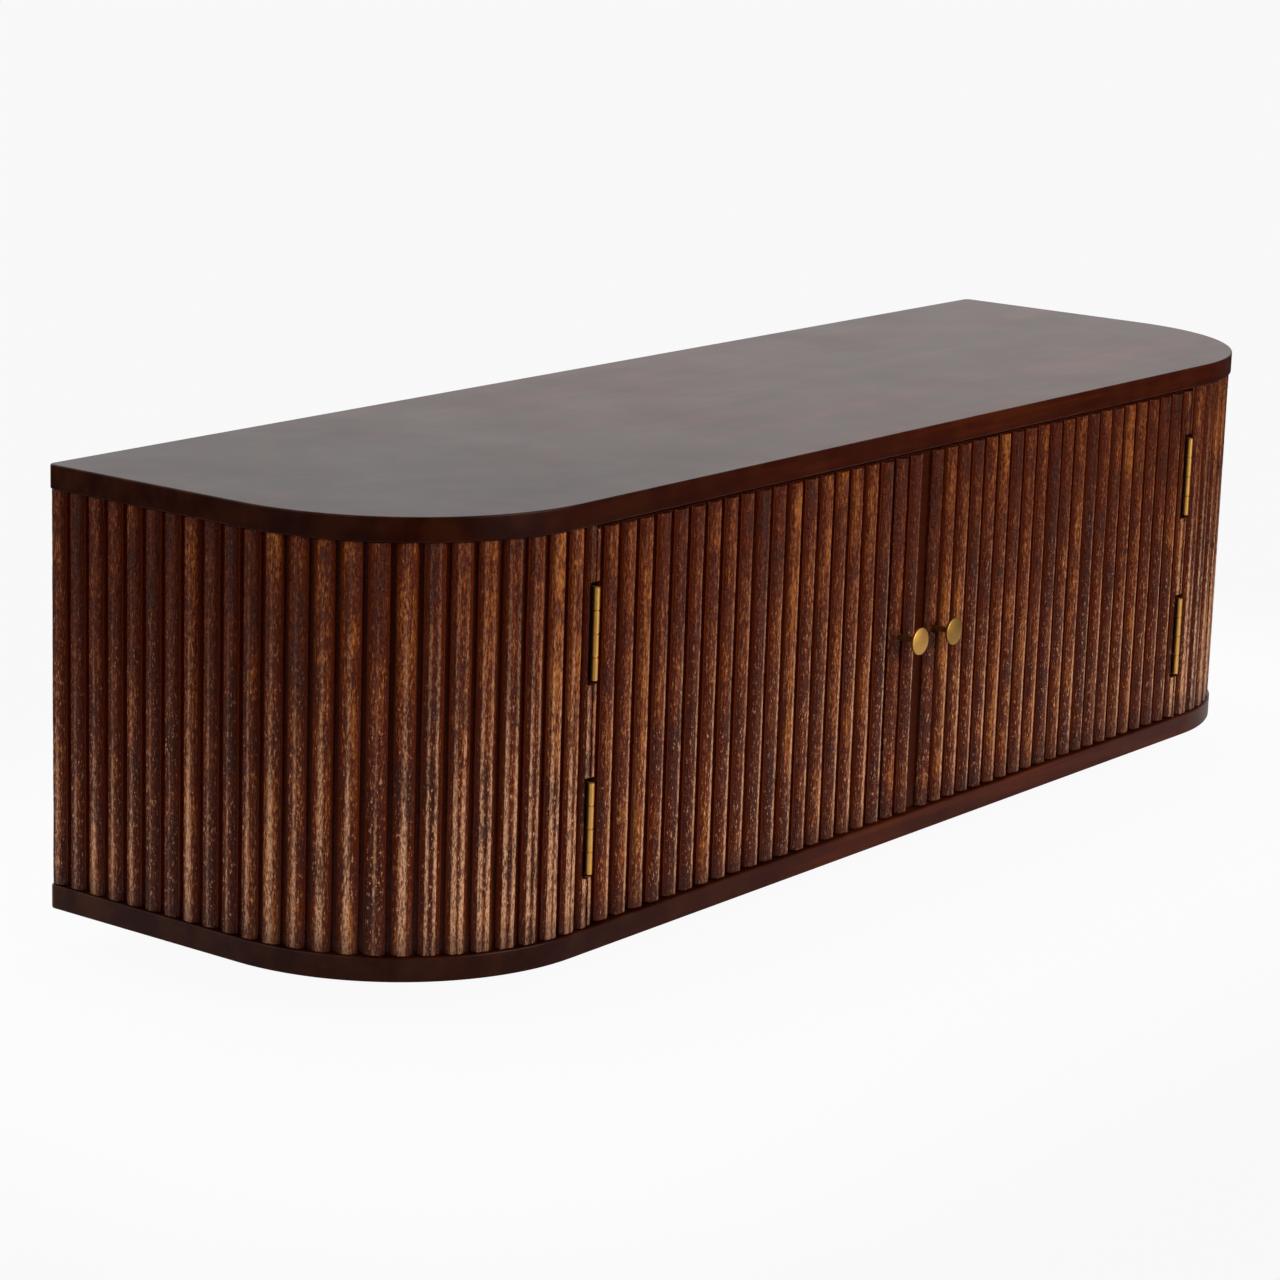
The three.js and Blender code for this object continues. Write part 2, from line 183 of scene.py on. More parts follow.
def eased(piece, width, segments):
    """Rounds the piece's edges."""
    bevel = piece.modifiers.new("eased edges", "BEVEL")
    bevel.width = width
    bevel.segments = segments
    bevel.limit_method = "ANGLE"
    bevel.angle_limit = ease_angle
    bevel.harden_normals = True
    return piece


def block_rings(low, high):
    """Rings of a box between two corners."""
    plan = [(low[0], low[1]), (high[0], low[1]), (high[0], high[1]), (low[0], high[1])]
    return [[(x, y, z) for x, y in plan] for z in (low[2], high[2])]


def lofted(name, rings, crease=crease_angle):
    """A solid piece through rings."""
    shells = Shells()
    shells.loft(rings)
    return shells.made(name, crease)


def block(name, low, high):
    return lofted(name, block_rings(low, high))


def placed(rings, place):
    """The rings with each of their points moved by a function."""
    return [[place(*point) for point in ring] for ring in rings]


def turned(name, profile, steps, place, crease=crease_angle):
    """A solid piece turned about Z, then moved by a function."""
    return lofted(name, placed(turned_rings(profile, steps), place), crease)


def rod(name, radius, low, high, place, steps=round_steps):
    return turned(name, [(radius, low), (radius, high)], steps, place)


def along_depth(x, y, z, way=1):
    """Moves a piece turned about Z so that its axis runs front to back through a point."""
    return lambda a, b, c: (x + a, y + way * c, z + b)


def rounded(radius, start, end, steps):
    """Points of an arc, as pairs, between two angles in quarter turns."""
    turns = [math.pi / 2 * (start + (end - start) * i / steps) for i in range(steps + 1)]
    return [(radius * math.cos(t), radius * math.sin(t)) for t in turns]


def dome(radius, height, steps):
    """Half section of a domed end, from its top down to its rim."""
    return [(radius * x, height * z) for x, z in rounded(1, 1, 0, steps)]


# Boards
board_corner_steps = 40
board_back_steps = 6
board_edge_steps = 5
board_front_steps = 48


def board_outline(inset):
    """The board's plan, drawn in by an inset, from the right front corner round to the left."""
    back_x, back_y = half_width - back_corner_radius, half_depth - back_corner_radius
    corner = rounded(corner_radius - inset, -1, 0, board_corner_steps)
    back = rounded(back_corner_radius - inset, 0, 1, board_back_steps)
    right = [(corner_x + x, corner_y + y) for x, y in corner] + [(back_x + x, back_y + y) for x, y in back]
    front = [corner_x * (2 * i / board_front_steps - 1) for i in range(1, board_front_steps)]
    return right + [(-x, y) for x, y in reversed(right)] + [(x, inset - half_depth) for x in front]


def make_board(name):
    low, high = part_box(name)
    arris = rounded(board_arris, 0, 1, board_edge_steps)
    edge = [(board_arris - y, low.z + board_arris - x) for x, y in arris]
    edge += [(inset, low.z + high.z - z) for inset, z in reversed(edge)]
    rings = [[(x, y, z) for x, y in board_outline(inset)] for inset, z in edge]
    board = lofted(name + "_lacquered", rings)
    level = board.modifiers.new("flat faces", "WEIGHTED_NORMAL")
    level.keep_sharp = True
    return dress(board, "board_wood", "carcass", name)


# Reeded facings
slat_row = 0.0018
slat_end_round = 0.0008
slat_end_rows = 4
slat_embed = 0.0003
slat_end_gap = 0.0003
slat_crown_share = 0.52
slat_crown_vary_share = 0.16
slat_arris_share = 0.04
# Painted highlight: how far past the crown's arris the pale line reaches
slat_highlight_past_share = 0.06
slat_crown_fall_share = 0.06
slat_slope_power = 1.25
slat_slope_steps = 4
slat_crown_steps = 2
slat_noise_seed = 1
slat_wander = 0.00022
slat_wander_length = 0.045
slat_rough = 0.00022
slat_rough_length = 0.0024
slat_lean_share = 0.1
slat_low_share = 0.12
slat_seed_reach = 1000
# Painted highlight down the middle of the end slats: its share on the side, by end, and how far round the
# end it goes
slat_side_highlight_share = 0.55
end_highlight_shares = {"left": 1, "right": 0.6}
highlight_round_share = 0.68
web_step = 0.004
plain_tone = 0.5
web_crown = -1
knob_hole_radius = 0.0044


# Without a seed of its own noise_vector takes the clock's, and the slats differ in each run
noise.seed_set(slat_noise_seed)


def end_place(side):
    """Plan places on an end's facing: along it from the back, and out from its web."""
    def place(along, height):
        radius = facing_radius + height
        if along <= side_run:
            x, y = corner_x + radius, half_depth - max(0, along)
        elif along <= side_run + corner_run:
            turn = (side_run - along) / facing_radius
            x, y = corner_x + radius * math.cos(turn), corner_y + radius * math.sin(turn)
        else:
            x, y = corner_x - (along - side_run - corner_run), corner_y - radius
        return side * x, y
    return place


def door_place(side):
    """Plan places on a door's facing: along it from the console's centre, and out from its web."""
    return lambda along, height: (side * along, web_y - height)


def row_heights(low, high):
    """Heights of a slat's rows, close together at its rounded ends, with each row's drop there."""
    ends = [slat_end_round - x for x, _ in rounded(slat_end_round, 0, 1, slat_end_rows)[:-1]]
    middle_low, middle_high = low + slat_end_round, high - slat_end_round
    count = max(1, round((middle_high - middle_low) / slat_row))
    middle = [middle_low + (middle_high - middle_low) * i / count for i in range(count + 1)]
    heights = [low + end for end in ends] + middle + [high - end for end in reversed(ends)]
    rows = []
    for z in heights:
        near = min(1, min(z - low, high - z) / slat_end_round)
        rows.append((z, slat_end_round * (1 - math.sqrt(1 - (1 - near) ** 2))))
    return rows


def slat_shares(crown):
    """Where a slat's profile has its points, as shares of its half width: slopes, arrises and crown."""
    outer, inner = crown + slat_arris_share, crown - slat_arris_share
    half = [1 - (1 - outer) * i / slat_slope_steps for i in range(slat_slope_steps + 1)]
    half += [inner * (1 - i / slat_crown_steps) for i in range(slat_crown_steps)]
    return [-share for share in half] + [0] + half[::-1]


def slat_bow(away, crown):
    """Rise of a slat's profile as a share of its full rise: a low crown, then a steep slope."""
    if away <= crown:
        return 1 - slat_crown_fall_share * (away / crown) ** 2
    slope = (away - crown) / (1 - crown)
    return (1 - slat_crown_fall_share) * (1 - slope ** slat_slope_power)


def slat_painted_highlight(share, crown, highlight_side, middle_highlight_share):
    """How much painted highlight a point of a slat's profile carries."""
    if abs(share) > crown + slat_highlight_past_share or share * highlight_side < 0:
        return 0
    away = min(1, abs(share) / crown)
    return middle_highlight_share * (1 - away) if middle_highlight_share else away


def add_slat(shells, place, middle, width, low, high, tone, kept_shares=None, highlight_side=0, middle_highlight_share=0):
    """A slat with a crowned face. With kept_shares only that part of its first half is there, from its
    middle out. It carries painted highlights along its arrises, or only along the arris on the given
    side, or, by the given share, along its middle."""
    seed = tone * slat_seed_reach
    lean = 0 if kept_shares else 2 * slat_lean_share * noise.noise_vector(Vector((seed, 0, 0))).x
    low_share = slat_low_share * abs(noise.noise_vector(Vector((seed, 1, 0))).y)
    crown = slat_crown_share + slat_crown_vary_share * noise.noise(Vector((seed, 4, 0)))
    shares = slat_shares(crown)
    if kept_shares:
        first, last = kept_shares
        shares = [first] + [share for share in shares if first < share < last] + [last]
    slope = 1 - crown - slat_arris_share
    crowns = [0] + [min(1, (1 - abs(share)) / slope) for share in shares] + [0]
    painted_highlights = [0] + [slat_painted_highlight(share, crown, highlight_side, middle_highlight_share) for share in shares] + [0]
    reach = -width / 2 if kept_shares else width / 2
    rings = []
    for z, drop in row_heights(low, high):
        wander = slat_wander * noise.noise(Vector((seed, 2, z / slat_wander_length)))
        rough = slat_rough * noise.noise(Vector((seed, 3, z / slat_rough_length)))
        start = middle if kept_shares else middle + wander
        ring = []
        for share in shares:
            bow = slat_bow(abs(share), crown)
            rise = (slat_height - slat_flank) * bow * (1 - low_share + lean * share)
            rise += wander * bow * share - abs(wander) - abs(rough)
            height = max(slat_embed, slat_flank + rise - drop)
            ring.append((start + (reach + rough) * share, height))
        ring = [(ring[0][0], -slat_embed)] + ring + [(ring[-1][0], -slat_embed)]
        rings.append([(*place(along, height), z) for along, height in ring])
    shells.loft(rings, tone=tone, crown=crowns * len(rings), wear=painted_highlights * len(rings))


def add_web(shells, place, low, high, bottom, top, notch_from):
    """The thin sheet behind the slats, notched beside the hinges where along passes notch_from."""
    count = round((high - low) / web_step)
    alongs = sorted([low + (high - low) * i / count for i in range(count + 1)] + [notch_from])
    heights = [bottom] + [z for notch in notches for z in notch] + [top]
    def kept(i, j):
        if not (0 <= i < len(alongs) - 1 and 0 <= j < len(heights) - 1):
            return False
        return j % 2 == 0 or alongs[i + 1] <= notch_from
    points, places = [], {}
    def corner(i, j, back):
        if (i, j, back) not in places:
            places[i, j, back] = len(points)
            points.append((*place(alongs[i], -web_thickness * back), heights[j]))
        return places[i, j, back]
    faces = []
    for i in range(len(alongs) - 1):
        for j in range(len(heights) - 1):
            if not kept(i, j):
                continue
            plan = [(i, j), (i + 1, j), (i + 1, j + 1), (i, j + 1)]
            faces += [[corner(*p, back) for p in plan] for back in (0, 1)]
            beside = [(i, j - 1), (i + 1, j), (i, j + 1), (i - 1, j)]
            for side, cell in enumerate(beside):
                if not kept(*cell):
                    a, b = plan[side], plan[(side + 1) % len(plan)]
                    faces.append([corner(*a, 0), corner(*b, 0), corner(*b, 1), corner(*a, 1)])
    shells.add(points, faces, tone=plain_tone, crown=web_crown, wear=0)


def add_joint_slat(shells, place, middle, bottom, top, tone):
    """The half slat beside the joint: whole along its outer edge, notched for the hinges inside."""
    gap_share, notch_share = joint_gap / joint_slat_width, 2 * notch_reach / joint_slat_width
    levels = [bottom] + [z for notch in notches for z in notch] + [top]
    for low, high in zip(levels[::2], levels[1::2]):
        add_slat(shells, place, middle, joint_slat_width, low, high, tone, (gap_share, notch_share))
    add_slat(shells, place, middle, joint_slat_width, bottom, top, tone, (notch_share, 1))


def slat_tones(seed, count):
    """Each slat's own tone, from 0 to 1."""
    draw = random.Random(seed)
    return [draw.random() for _ in range(count)]


def make_end_facing(side_name):
    place = end_place(side_signs[side_name])
    bottom, top = end_low.z + slat_end_gap, end_high.z - slat_end_gap
    run = end_run - joint_slat_width / 2
    count = round(run / end_slat_pitch)
    step = run / count
    width = step - end_groove
    tones = slat_tones(side_name + " end", count + 1)
    draw = random.Random(side_name + " end gaps")
    shells = Shells()
    for i in range(count):
        # Painted highlight down the middle of the slats on the side and round the corner, growing towards
        # the front by each slat's tone
        short = slat_end_gap * draw.random()
        round_share = i / count
        middle_highlight_share = 0
        if round_share <= highlight_round_share:
            front_highlight_share = tones[i] * (1 - slat_side_highlight_share) * round_share / highlight_round_share
            middle_highlight_share = end_highlight_shares[side_name] * (slat_side_highlight_share + front_highlight_share)
        middle = i * step + width / 2
        add_slat(shells, place, middle, width, bottom, top - short, tones[i], middle_highlight_share=middle_highlight_share)
    add_joint_slat(shells, place, end_run, bottom, top, tones[count])
    add_web(shells, place, 0, end_run - joint_gap / 2, end_low.z, end_high.z, end_run - notch_reach)
    facing = shells.made(side_name + "_end_slats")
    return dress(facing, "slat_wood", "carcass", side_name + "_end_facing")


def take_drilled(shells, part, side, tone, crown=None):
    """Drills the knob's hole through some of a door's shells before the others take them."""
    place = along_depth(side * knob_x, web_y, knob_z)
    piece = cut(part.made("drilled"), rod("drill", knob_hole_radius, -slat_height, slat_height, place))
    if crown is None:
        crown = [max(0, (web_y - point.co.y) / slat_height) for point in piece.data.vertices]
    shells.take(piece, tone=tone, crown=crown, wear=0)


def make_door_facing(side_name):
    side = side_signs[side_name]
    place = door_place(side)
    bottom, top = door_low.z, door_high.z
    first = meeting_x + (bare_strip if side > 0 else 0)
    run = joint_x - joint_slat_width / 2 - first
    count = round(run / door_slat_pitch)
    step = run / count
    width = step - door_groove
    tones = slat_tones(side_name + " door", count + 1)
    draw = random.Random(side_name + " door gaps")
    shells = Shells()
    for i in range(count):
        short = 2 * slat_end_gap * draw.random()
        middle = first + i * step + width / 2
        near_knob = abs(middle - knob_x) < width / 2 + knob_hole_radius
        target = Shells() if near_knob else shells
        # Painted highlight only along each slat's right-hand arris
        add_slat(target, place, middle, width, bottom, top - short, tones[i], highlight_side=side)
        if near_knob:
            take_drilled(shells, target, side, tones[i])
    add_joint_slat(shells, place, joint_x, bottom, top, tones[count])
    web = Shells()
    add_web(web, place, meeting_x, door_edge_x, bottom, top, joint_x - notch_reach)
    take_drilled(shells, web, side, plain_tone, web_crown)
    facing = shells.made(side_name + "_door_slats")
    return dress(facing, "slat_wood", side_name + "_door", side_name + "_door_facing")


# Bent shells behind the end facings
shell_corner_steps = 36
case_ease = 0.0004


def make_end_shell(side_name):
    side = side_signs[side_name]
    low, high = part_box(side_name + "_end_shell")
    outer = max(abs(low.x), abs(high.x)) - corner_x
    radii = (outer, outer - shell_thickness)
    outside, inside = [rounded(radius, -1, 0, shell_corner_steps) for radius in radii]
    side_edge = [(radius, half_depth - corner_y) for radius in radii]
    outline = [(side * (corner_x + x), corner_y + y) for x, y in outside + side_edge + inside[::-1]]
    rings = [[(x, y, z) for x, y in outline] for z in (low.z, high.z)]
    shell = lofted(side_name + "_bent_shell", rings, shell_crease_angle)
    return dress(shell, "case_wood", "carcass", side_name + "_end_shell")


# Knobs
knob_steps = 72
knob_rim = 0.0024
knob_rim_ease = 0.0006
knob_stem_radius = 0.0021
knob_collar_radius = 0.004
knob_collar_length = 0.005
knob_flare_length = 0.008
knob_flare_power = 1.3
knob_fillet = 0.0006
knob_bore_radius = 0.00205
knob_bore_depth = 0.0042
knob_dome = 0.0012
knob_dome_steps = 8
knob_ease_steps = 4
knob_flare_steps = 6
# Painted shade on the brass: the right knob's face is painted darker, and both stems more so
knob_tarnish = {"left": 0, "right": 0.4}
stem_tarnish = 0.7


def knob_profile():
    """Half section of a knob as radius and height, from the floor of its bore round to its face."""
    length = knob_high.y - knob_low.y
    rim = length - knob_dome
    back = rim - knob_rim
    shoulder = (knob_high.x - knob_low.x) / 2 - knob_rim_ease
    ease = rounded(knob_rim_ease, 0, 1, knob_ease_steps)
    collar_x, collar_z = knob_collar_radius - knob_rim_ease, knob_collar_length - knob_rim_ease
    profile = [(0, knob_bore_depth), (knob_bore_radius, knob_bore_depth), (knob_bore_radius, 0)]
    profile += [(knob_collar_radius - knob_fillet, 0), (knob_collar_radius, knob_fillet)]
    profile += [(collar_x + x, collar_z + z) for x, z in ease]
    profile += [(knob_stem_radius + knob_fillet, knob_collar_length)]
    profile += [(knob_stem_radius, knob_collar_length + knob_fillet)]
    profile += [(knob_stem_radius, back - knob_flare_length)]
    for x, z in rounded(1, 0, 1, knob_flare_steps)[1:]:
        radius = knob_stem_radius + (shoulder - knob_stem_radius) * (1 - x) ** knob_flare_power
        profile.append((radius, back - knob_flare_length * (1 - z)))
    profile += [(shoulder + x, back + knob_rim_ease - z) for z, x in ease[::-1]]
    profile += [(shoulder + x, rim - knob_rim_ease + z) for x, z in ease]
    for x, _ in rounded(1, 0, 1, knob_dome_steps)[1:-1]:
        profile.append((shoulder * x, rim + knob_dome * (1 - x * x)))
    return profile + [(0, length)]


def make_knob(side_name):
    place = along_depth(side_signs[side_name] * knob_x, knob_high.y, knob_z, -1)
    knob = turned("turned", knob_profile(), knob_steps, place)
    # Painted shade: the stem and the back of the flare are painted darker than the face
    back = knob_low.y + knob_dome + knob_rim
    face_tarnish = knob_tarnish[side_name]
    tarnish = [stem_tarnish if point.co.y > back else face_tarnish for point in knob.data.vertices]
    shells = Shells()
    shells.take(knob, tarnish=tarnish)
    piece = shells.made(side_name + "_turned_knob", metal_crease_angle)
    return dress(piece, "brass", side_name + "_door", side_name + "_knob")


# Knob screws
knob_screw_radius = 0.00175
knob_screw_head_radius = 0.004
knob_screw_head_height = 0.0022
knob_screw_dome_steps = 8
thread_pitch = 0.0007
thread_depth = 0.00025
cross_length = 0.0046
cross_width = 0.0008
cross_depth = 0.0014


def threaded(radius, start, end):
    """A screw's thread as steps of its half section."""
    count = round((end - start) / thread_pitch)
    pitch = (end - start) / count
    points = []
    for i in range(count):
        root = start + i * pitch
        points += [(radius - thread_depth, root), (radius, root + pitch / 2)]
    return points + [(radius - thread_depth, end)]


def make_knob_screw(side_name):
    x = side_signs[side_name] * knob_x
    low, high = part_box(side_name + "_knob_screw")
    seat = high.y - knob_screw_head_height
    length = seat - low.y
    profile = dome(knob_screw_head_radius, knob_screw_head_height, knob_screw_dome_steps)
    profile += [(knob_screw_head_radius, 0)]
    profile += [(r, -z) for r, z in threaded(knob_screw_radius, 0, length)] + [(0, -length)]
    screw = turned(side_name + "_pan_head_screw", profile, round_steps, along_depth(x, seat, knob_z))
    arms = []
    for long, tall in ((cross_length, cross_width), (cross_width, cross_length)):
        low_corner = (x - long / 2, high.y - cross_depth, knob_z - tall / 2)
        high_corner = (x + long / 2, high.y + cross_depth, knob_z + tall / 2)
        arms.append(block("arm", low_corner, high_corner))
    cut(screw, *arms)
    return dress(screw, "steel", side_name + "_door", side_name + "_knob_screw")


# Hinges, about their own axis: X towards the door, Y to the back, Z up from the middle height
barrel_radius = 0.00235
barrel_bore = 0.0012
barrel_ease = 0.0005
knuckle_count = 4
knuckle_gap = 0.0003
leaf_gap = 0.0002
leaf_thickness = 0.001
leaf_depth = 0.016
leaf_barrel_gap = 0.00035
leaf_ease = 0.0002
pin_dome = 0.0005
pin_dome_steps = 5
hinge_screw_head_radius = 0.0022
hinge_screw_radius = 0.0012
hinge_screw_length = 0.012
hinge_screw_tip = 0.002
hinge_screw_spare = 0.0002
hinge_slot_width = 0.0005
hinge_slot_depth = 0.0005
hinge_screw_share = 0.29
# Painted shade on the hinge plates, which sit in the dark joint
plate_tarnish = 0.75
leaf_ways = {"frame": -1, "door": 1}
hinge_length = pin_high.z - pin_low.z
hinge_screw_y = (door_high.y + hinge_y + leaf_depth) / 2 - hinge_y
hinge_screw_heights = (-hinge_screw_share * hinge_length, hinge_screw_share * hinge_length)


def hinge_place(side, level):
    """Moves points from a hinge's own axes to their place, turned over on the right."""
    low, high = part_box(f"right_{level}_hinge_pin")
    middle = (low.z + high.z) / 2
    return lambda x, y, z: (side * (hinge_x - x), hinge_y + y, middle - side * z)


def hinge_body(side_name, kind):
    return "carcass" if kind == "frame" else side_name + "_door"


def screw_axis(place, way, height):
    """Places a screw that is turned about Z, its head flush with the leaf and its shank going out."""
    return lambda x, y, z: place(way * (leaf_gap / 2 + z), hinge_screw_y + x, height + way * y)


def make_leaf(side_name, level, kind):
    way = leaf_ways[kind]
    place = hinge_place(side_signs[side_name], level)
    half = hinge_length / 2
    step = hinge_length / knuckle_count
    plate_x = sorted((way * leaf_gap / 2, way * (leaf_gap / 2 + leaf_thickness)))
    plate_y = barrel_radius + leaf_barrel_gap
    corners = block_rings((plate_x[0], plate_y, -half), (plate_x[1], leaf_depth, half))
    sheet = lofted("plate", placed(corners, place))
    head = hinge_screw_head_radius + hinge_screw_spare
    shank = hinge_screw_radius + hinge_screw_spare
    bore = [(head, -leaf_thickness), (head, 0), (shank, leaf_thickness), (shank, 2 * leaf_thickness)]
    holes = [turned("hole", bore, round_steps, screw_axis(place, way, z)) for z in hinge_screw_heights]
    cut(sheet, *holes)
    leaf = Shells()
    leaf.take(sheet, tarnish=plate_tarnish)
    for i in range(0 if kind == "frame" else 1, knuckle_count, 2):
        low = -half + i * step + knuckle_gap / 2
        high = low + step - knuckle_gap
        end_radius = barrel_radius - barrel_ease
        outside = [(end_radius, low), (barrel_radius, low + barrel_ease)]
        outside += [(barrel_radius, high - barrel_ease), (end_radius, high)]
        rings = turned_rings(outside + [(barrel_bore, high), (barrel_bore, low)], round_steps)
        leaf.loft(placed(rings, place), tube=True, tarnish=0)
        tab_low = (plate_x[0], (barrel_radius + barrel_bore) / 2, low + barrel_ease)
        tab_high = (plate_x[1], plate_y + leaf_thickness, high - barrel_ease)
        leaf.loft(placed(block_rings(tab_low, tab_high), place), tarnish=plate_tarnish)
    name = f"{side_name}_{level}_hinge_{kind}_leaf"
    piece = leaf.made(name + "_rolled", metal_crease_angle)
    return dress(piece, "brass", hinge_body(side_name, kind), name)


def make_pin(side_name, level):
    base = hinge_length / 2 - pin_dome
    end = [(x, base + z) for x, z in dome((pin_high.x - pin_low.x) / 2, pin_dome, pin_dome_steps)]
    profile = end + [(x, -z) for x, z in reversed(end)]
    name = f"{side_name}_{level}_hinge_pin"
    place = hinge_place(side_signs[side_name], level)
    pin = turned(name + "_domed", profile, round_steps, place)
    return dress(pin, "brass", "carcass", name)


def make_hinge_screw(side_name, level, kind, number):
    """A countersunk screw with a slotted head."""
    height = hinge_screw_heights[number - 1]
    place = screw_axis(hinge_place(side_signs[side_name], level), leaf_ways[kind], height)
    core = hinge_screw_radius - thread_depth
    profile = [(0, 0), (hinge_screw_head_radius, 0), (hinge_screw_radius, leaf_thickness)]
    profile += threaded(hinge_screw_radius, 2 * leaf_thickness, hinge_screw_length - hinge_screw_tip)
    profile += [(core / 2, hinge_screw_length - hinge_screw_tip / 2), (0, hinge_screw_length)]
    name = f"{side_name}_{level}_hinge_{kind}_screw_{number}"
    screw = turned(name + "_slotted", profile, round_steps // 2, place)
    half = hinge_slot_width / 2
    reach = 2 * hinge_screw_head_radius
    corners = block_rings((-reach, -half, -hinge_slot_depth), (reach, half, hinge_slot_depth))
    cut(screw, lofted("slot", placed(corners, place)))
    return dress(screw, "brass", hinge_body(side_name, kind), name)


def make_hinge(side_name, level):
    make_pin(side_name, level)
    for kind in leaf_ways:
        make_leaf(side_name, level, kind)
        for number in (1, 2):
            make_hinge_screw(side_name, level, kind, number)


# Magnetic catches and their strike plates
catch_ease = 0.0012
pole_length = 0.036
pole_height = 0.0015
pole_gap = 0.0042
pole_proud = 0.0002
pole_depth = 0.009
strike_corner = 0.0025
strike_corner_steps = 6
strike_screw_radius = 0.0028
strike_slot_width = 0.0007
strike_slot_depth = 0.0004
strike_groove_width = 0.000175


def make_catch(side_name):
    """A plastic case with two steel pole plates that stand a little proud of its front."""
    low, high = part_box(side_name + "_catch")
    case = eased(block(side_name + "_catch_case", low, high), catch_ease, soft_ease_steps)
    dress(case, "catch_plastic", "carcass", side_name + "_catch")
    middle = (low + high) / 2
    poles = Shells()
    for way in (-1, 1):
        z = middle.z + way * pole_gap / 2
        low_corner = (middle.x - pole_length / 2, low.y - pole_proud, z - pole_height / 2)
        high_corner = (middle.x + pole_length / 2, low.y + pole_depth, z + pole_height / 2)
        poles.loft(block_rings(low_corner, high_corner))
    plates = eased(poles.made(side_name + "_catch_poles"), pole_proud / 2, ease_steps)
    dress(plates, "steel", "carcass")


def make_strike_plate(side_name):
    """A thin plate with rounded corners, and the slotted screw that holds it."""
    low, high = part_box(side_name + "_strike_plate")
    middle = (low + high) / 2
    corners = []
    for turn, (x, z) in enumerate(((high.x, high.z), (low.x, high.z), (low.x, low.z), (high.x, low.z))):
        centre_x = x - math.copysign(strike_corner, x - middle.x)
        centre_z = z - math.copysign(strike_corner, z - middle.z)
        arc = rounded(strike_corner, turn, turn + 1, strike_corner_steps)
        corners += [(centre_x + dx, centre_z + dz) for dx, dz in arc]
    rings = [[(x, y, z) for x, z in corners] for y in (low.y, high.y)]
    strike = lofted(side_name + "_strike_sheet", rings)
    place = along_depth(middle.x, high.y, middle.z, -1)
    groove = rod("groove", strike_screw_radius, -strike_slot_depth, strike_slot_depth / 2, place)
    core = strike_screw_radius - strike_groove_width
    button = rod("button", core, -strike_slot_depth, strike_slot_depth, place)
    reach = Vector((strike_slot_width / 2, strike_slot_depth, strike_screw_radius))
    face = Vector((middle.x, high.y, middle.z))
    cut(groove, button)
    cut(strike, groove, block("slot", face - reach, face + reach))
    eased(strike, leaf_ease, ease_steps)
    return dress(strike, "steel", side_name + "_door", side_name + "_strike_plate")


# Back panel
back_hole_steps = 64
back_ease = 0.0006


def make_back_panel():
    low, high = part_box("back_panel")
    panel = block("drilled_back_panel", low, high)
    reach = 2 * (high.y - low.y)
    places = [along_depth(side * cable_hole_x, low.y, cable_hole_z) for side in (-1, 1)]
    holes = [rod("hole", cable_hole_radius, -reach, reach, place, back_hole_steps) for place in places]
    cut(panel, *holes)
    eased(panel, back_ease, soft_ease_steps)
    return dress(panel, "back_wood", "carcass", "back_panel")


# Materials: helpers for nodes
def add_node(tree, kind, inputs, **settings):
    node = tree.nodes.new(kind)
    for name, value in settings.items():
        setattr(node, name, value)
    for key, value in inputs.items():
        socket = node.inputs[key]
        if isinstance(value, bpy.types.NodeSocket):
            tree.links.new(value, socket)
        else:
            socket.default_value = value
    return node


def math_node(tree, operation, *values, clamp=False):
    node = add_node(tree, "ShaderNodeMath", dict(enumerate(values)), operation=operation, use_clamp=clamp)
    return node.outputs[0]


def product(tree, first, *others):
    for other in others:
        first = math_node(tree, "MULTIPLY", first, other)
    return first


def weighed(tree, start, weights, *values):
    """The start with each of the values added by its weight."""
    for weight, value in zip(weights, values):
        start = math_node(tree, "MULTIPLY_ADD", value, weight, start)
    return start


def vector_node(tree, operation, *values):
    return add_node(tree, "ShaderNodeVectorMath", dict(enumerate(values)), operation=operation).outputs


def mix_colours(tree, share, first, second):
    inputs = {"Factor": share, 6: first, 7: second}
    return add_node(tree, "ShaderNodeMix", inputs, data_type="RGBA").outputs[2]


def spread(tree, value, low, high, to_low=0.0, to_high=1.0, kind="SMOOTHSTEP"):
    """Value from between low and high to between the other two."""
    inputs = {0: value, 1: low, 2: high, 3: to_low, 4: to_high}
    return add_node(tree, "ShaderNodeMapRange", inputs, interpolation_type=kind).outputs[0]


def axis_value(tree, place, axis):
    return add_node(tree, "ShaderNodeSeparateXYZ", {0: place}).outputs[axis]


def noise_node(tree, place, size, **inputs):
    """Noise with marks of a size in metres."""
    scaled = vector_node(tree, "DIVIDE", place, size)[0]
    return add_node(tree, "ShaderNodeTexNoise", {"Vector": scaled, "Scale": 1.0, **inputs}).outputs["Fac"]


def point_value(tree, name):
    """A value kept for each point of a mesh."""
    return add_node(tree, "ShaderNodeAttribute", {}, attribute_name=name).outputs["Fac"]


def new_group(name, inputs, outputs):
    """An empty node group with its sockets, given by name and kind."""
    tree = bpy.data.node_groups.new(name, "ShaderNodeTree")
    for way, sockets in (("INPUT", inputs), ("OUTPUT", outputs)):
        for label, kind in sockets.items():
            tree.interface.new_socket(label, in_out=way, socket_type="NodeSocket" + kind)
    return tree, tree.nodes.new("NodeGroupInput").outputs, tree.nodes.new("NodeGroupOutput").inputs


def use_group(tree, group, **inputs):
    return add_node(tree, "ShaderNodeGroup", inputs, node_tree=group).outputs


# Effects that several finishes share
marks = {"Place": "Vector", "Size": "Vector", "Shift": "Float"}
middle_level = 0.5
fibre_detail = 3.0
fibre_roughness = 0.6
pore_edge = 0.15
rub_detail = 4.0
rub_break = (0.4, 0.65)
gloss_detail = 3.0
skin_detail = 1.0


def shifted_place(tree, given):
    """The group's place in marks of its size, moved by its shift."""
    scaled = vector_node(tree, "DIVIDE", given["Place"], given["Size"])[0]
    return vector_node(tree, "ADD", scaled, given["Shift"])[0]


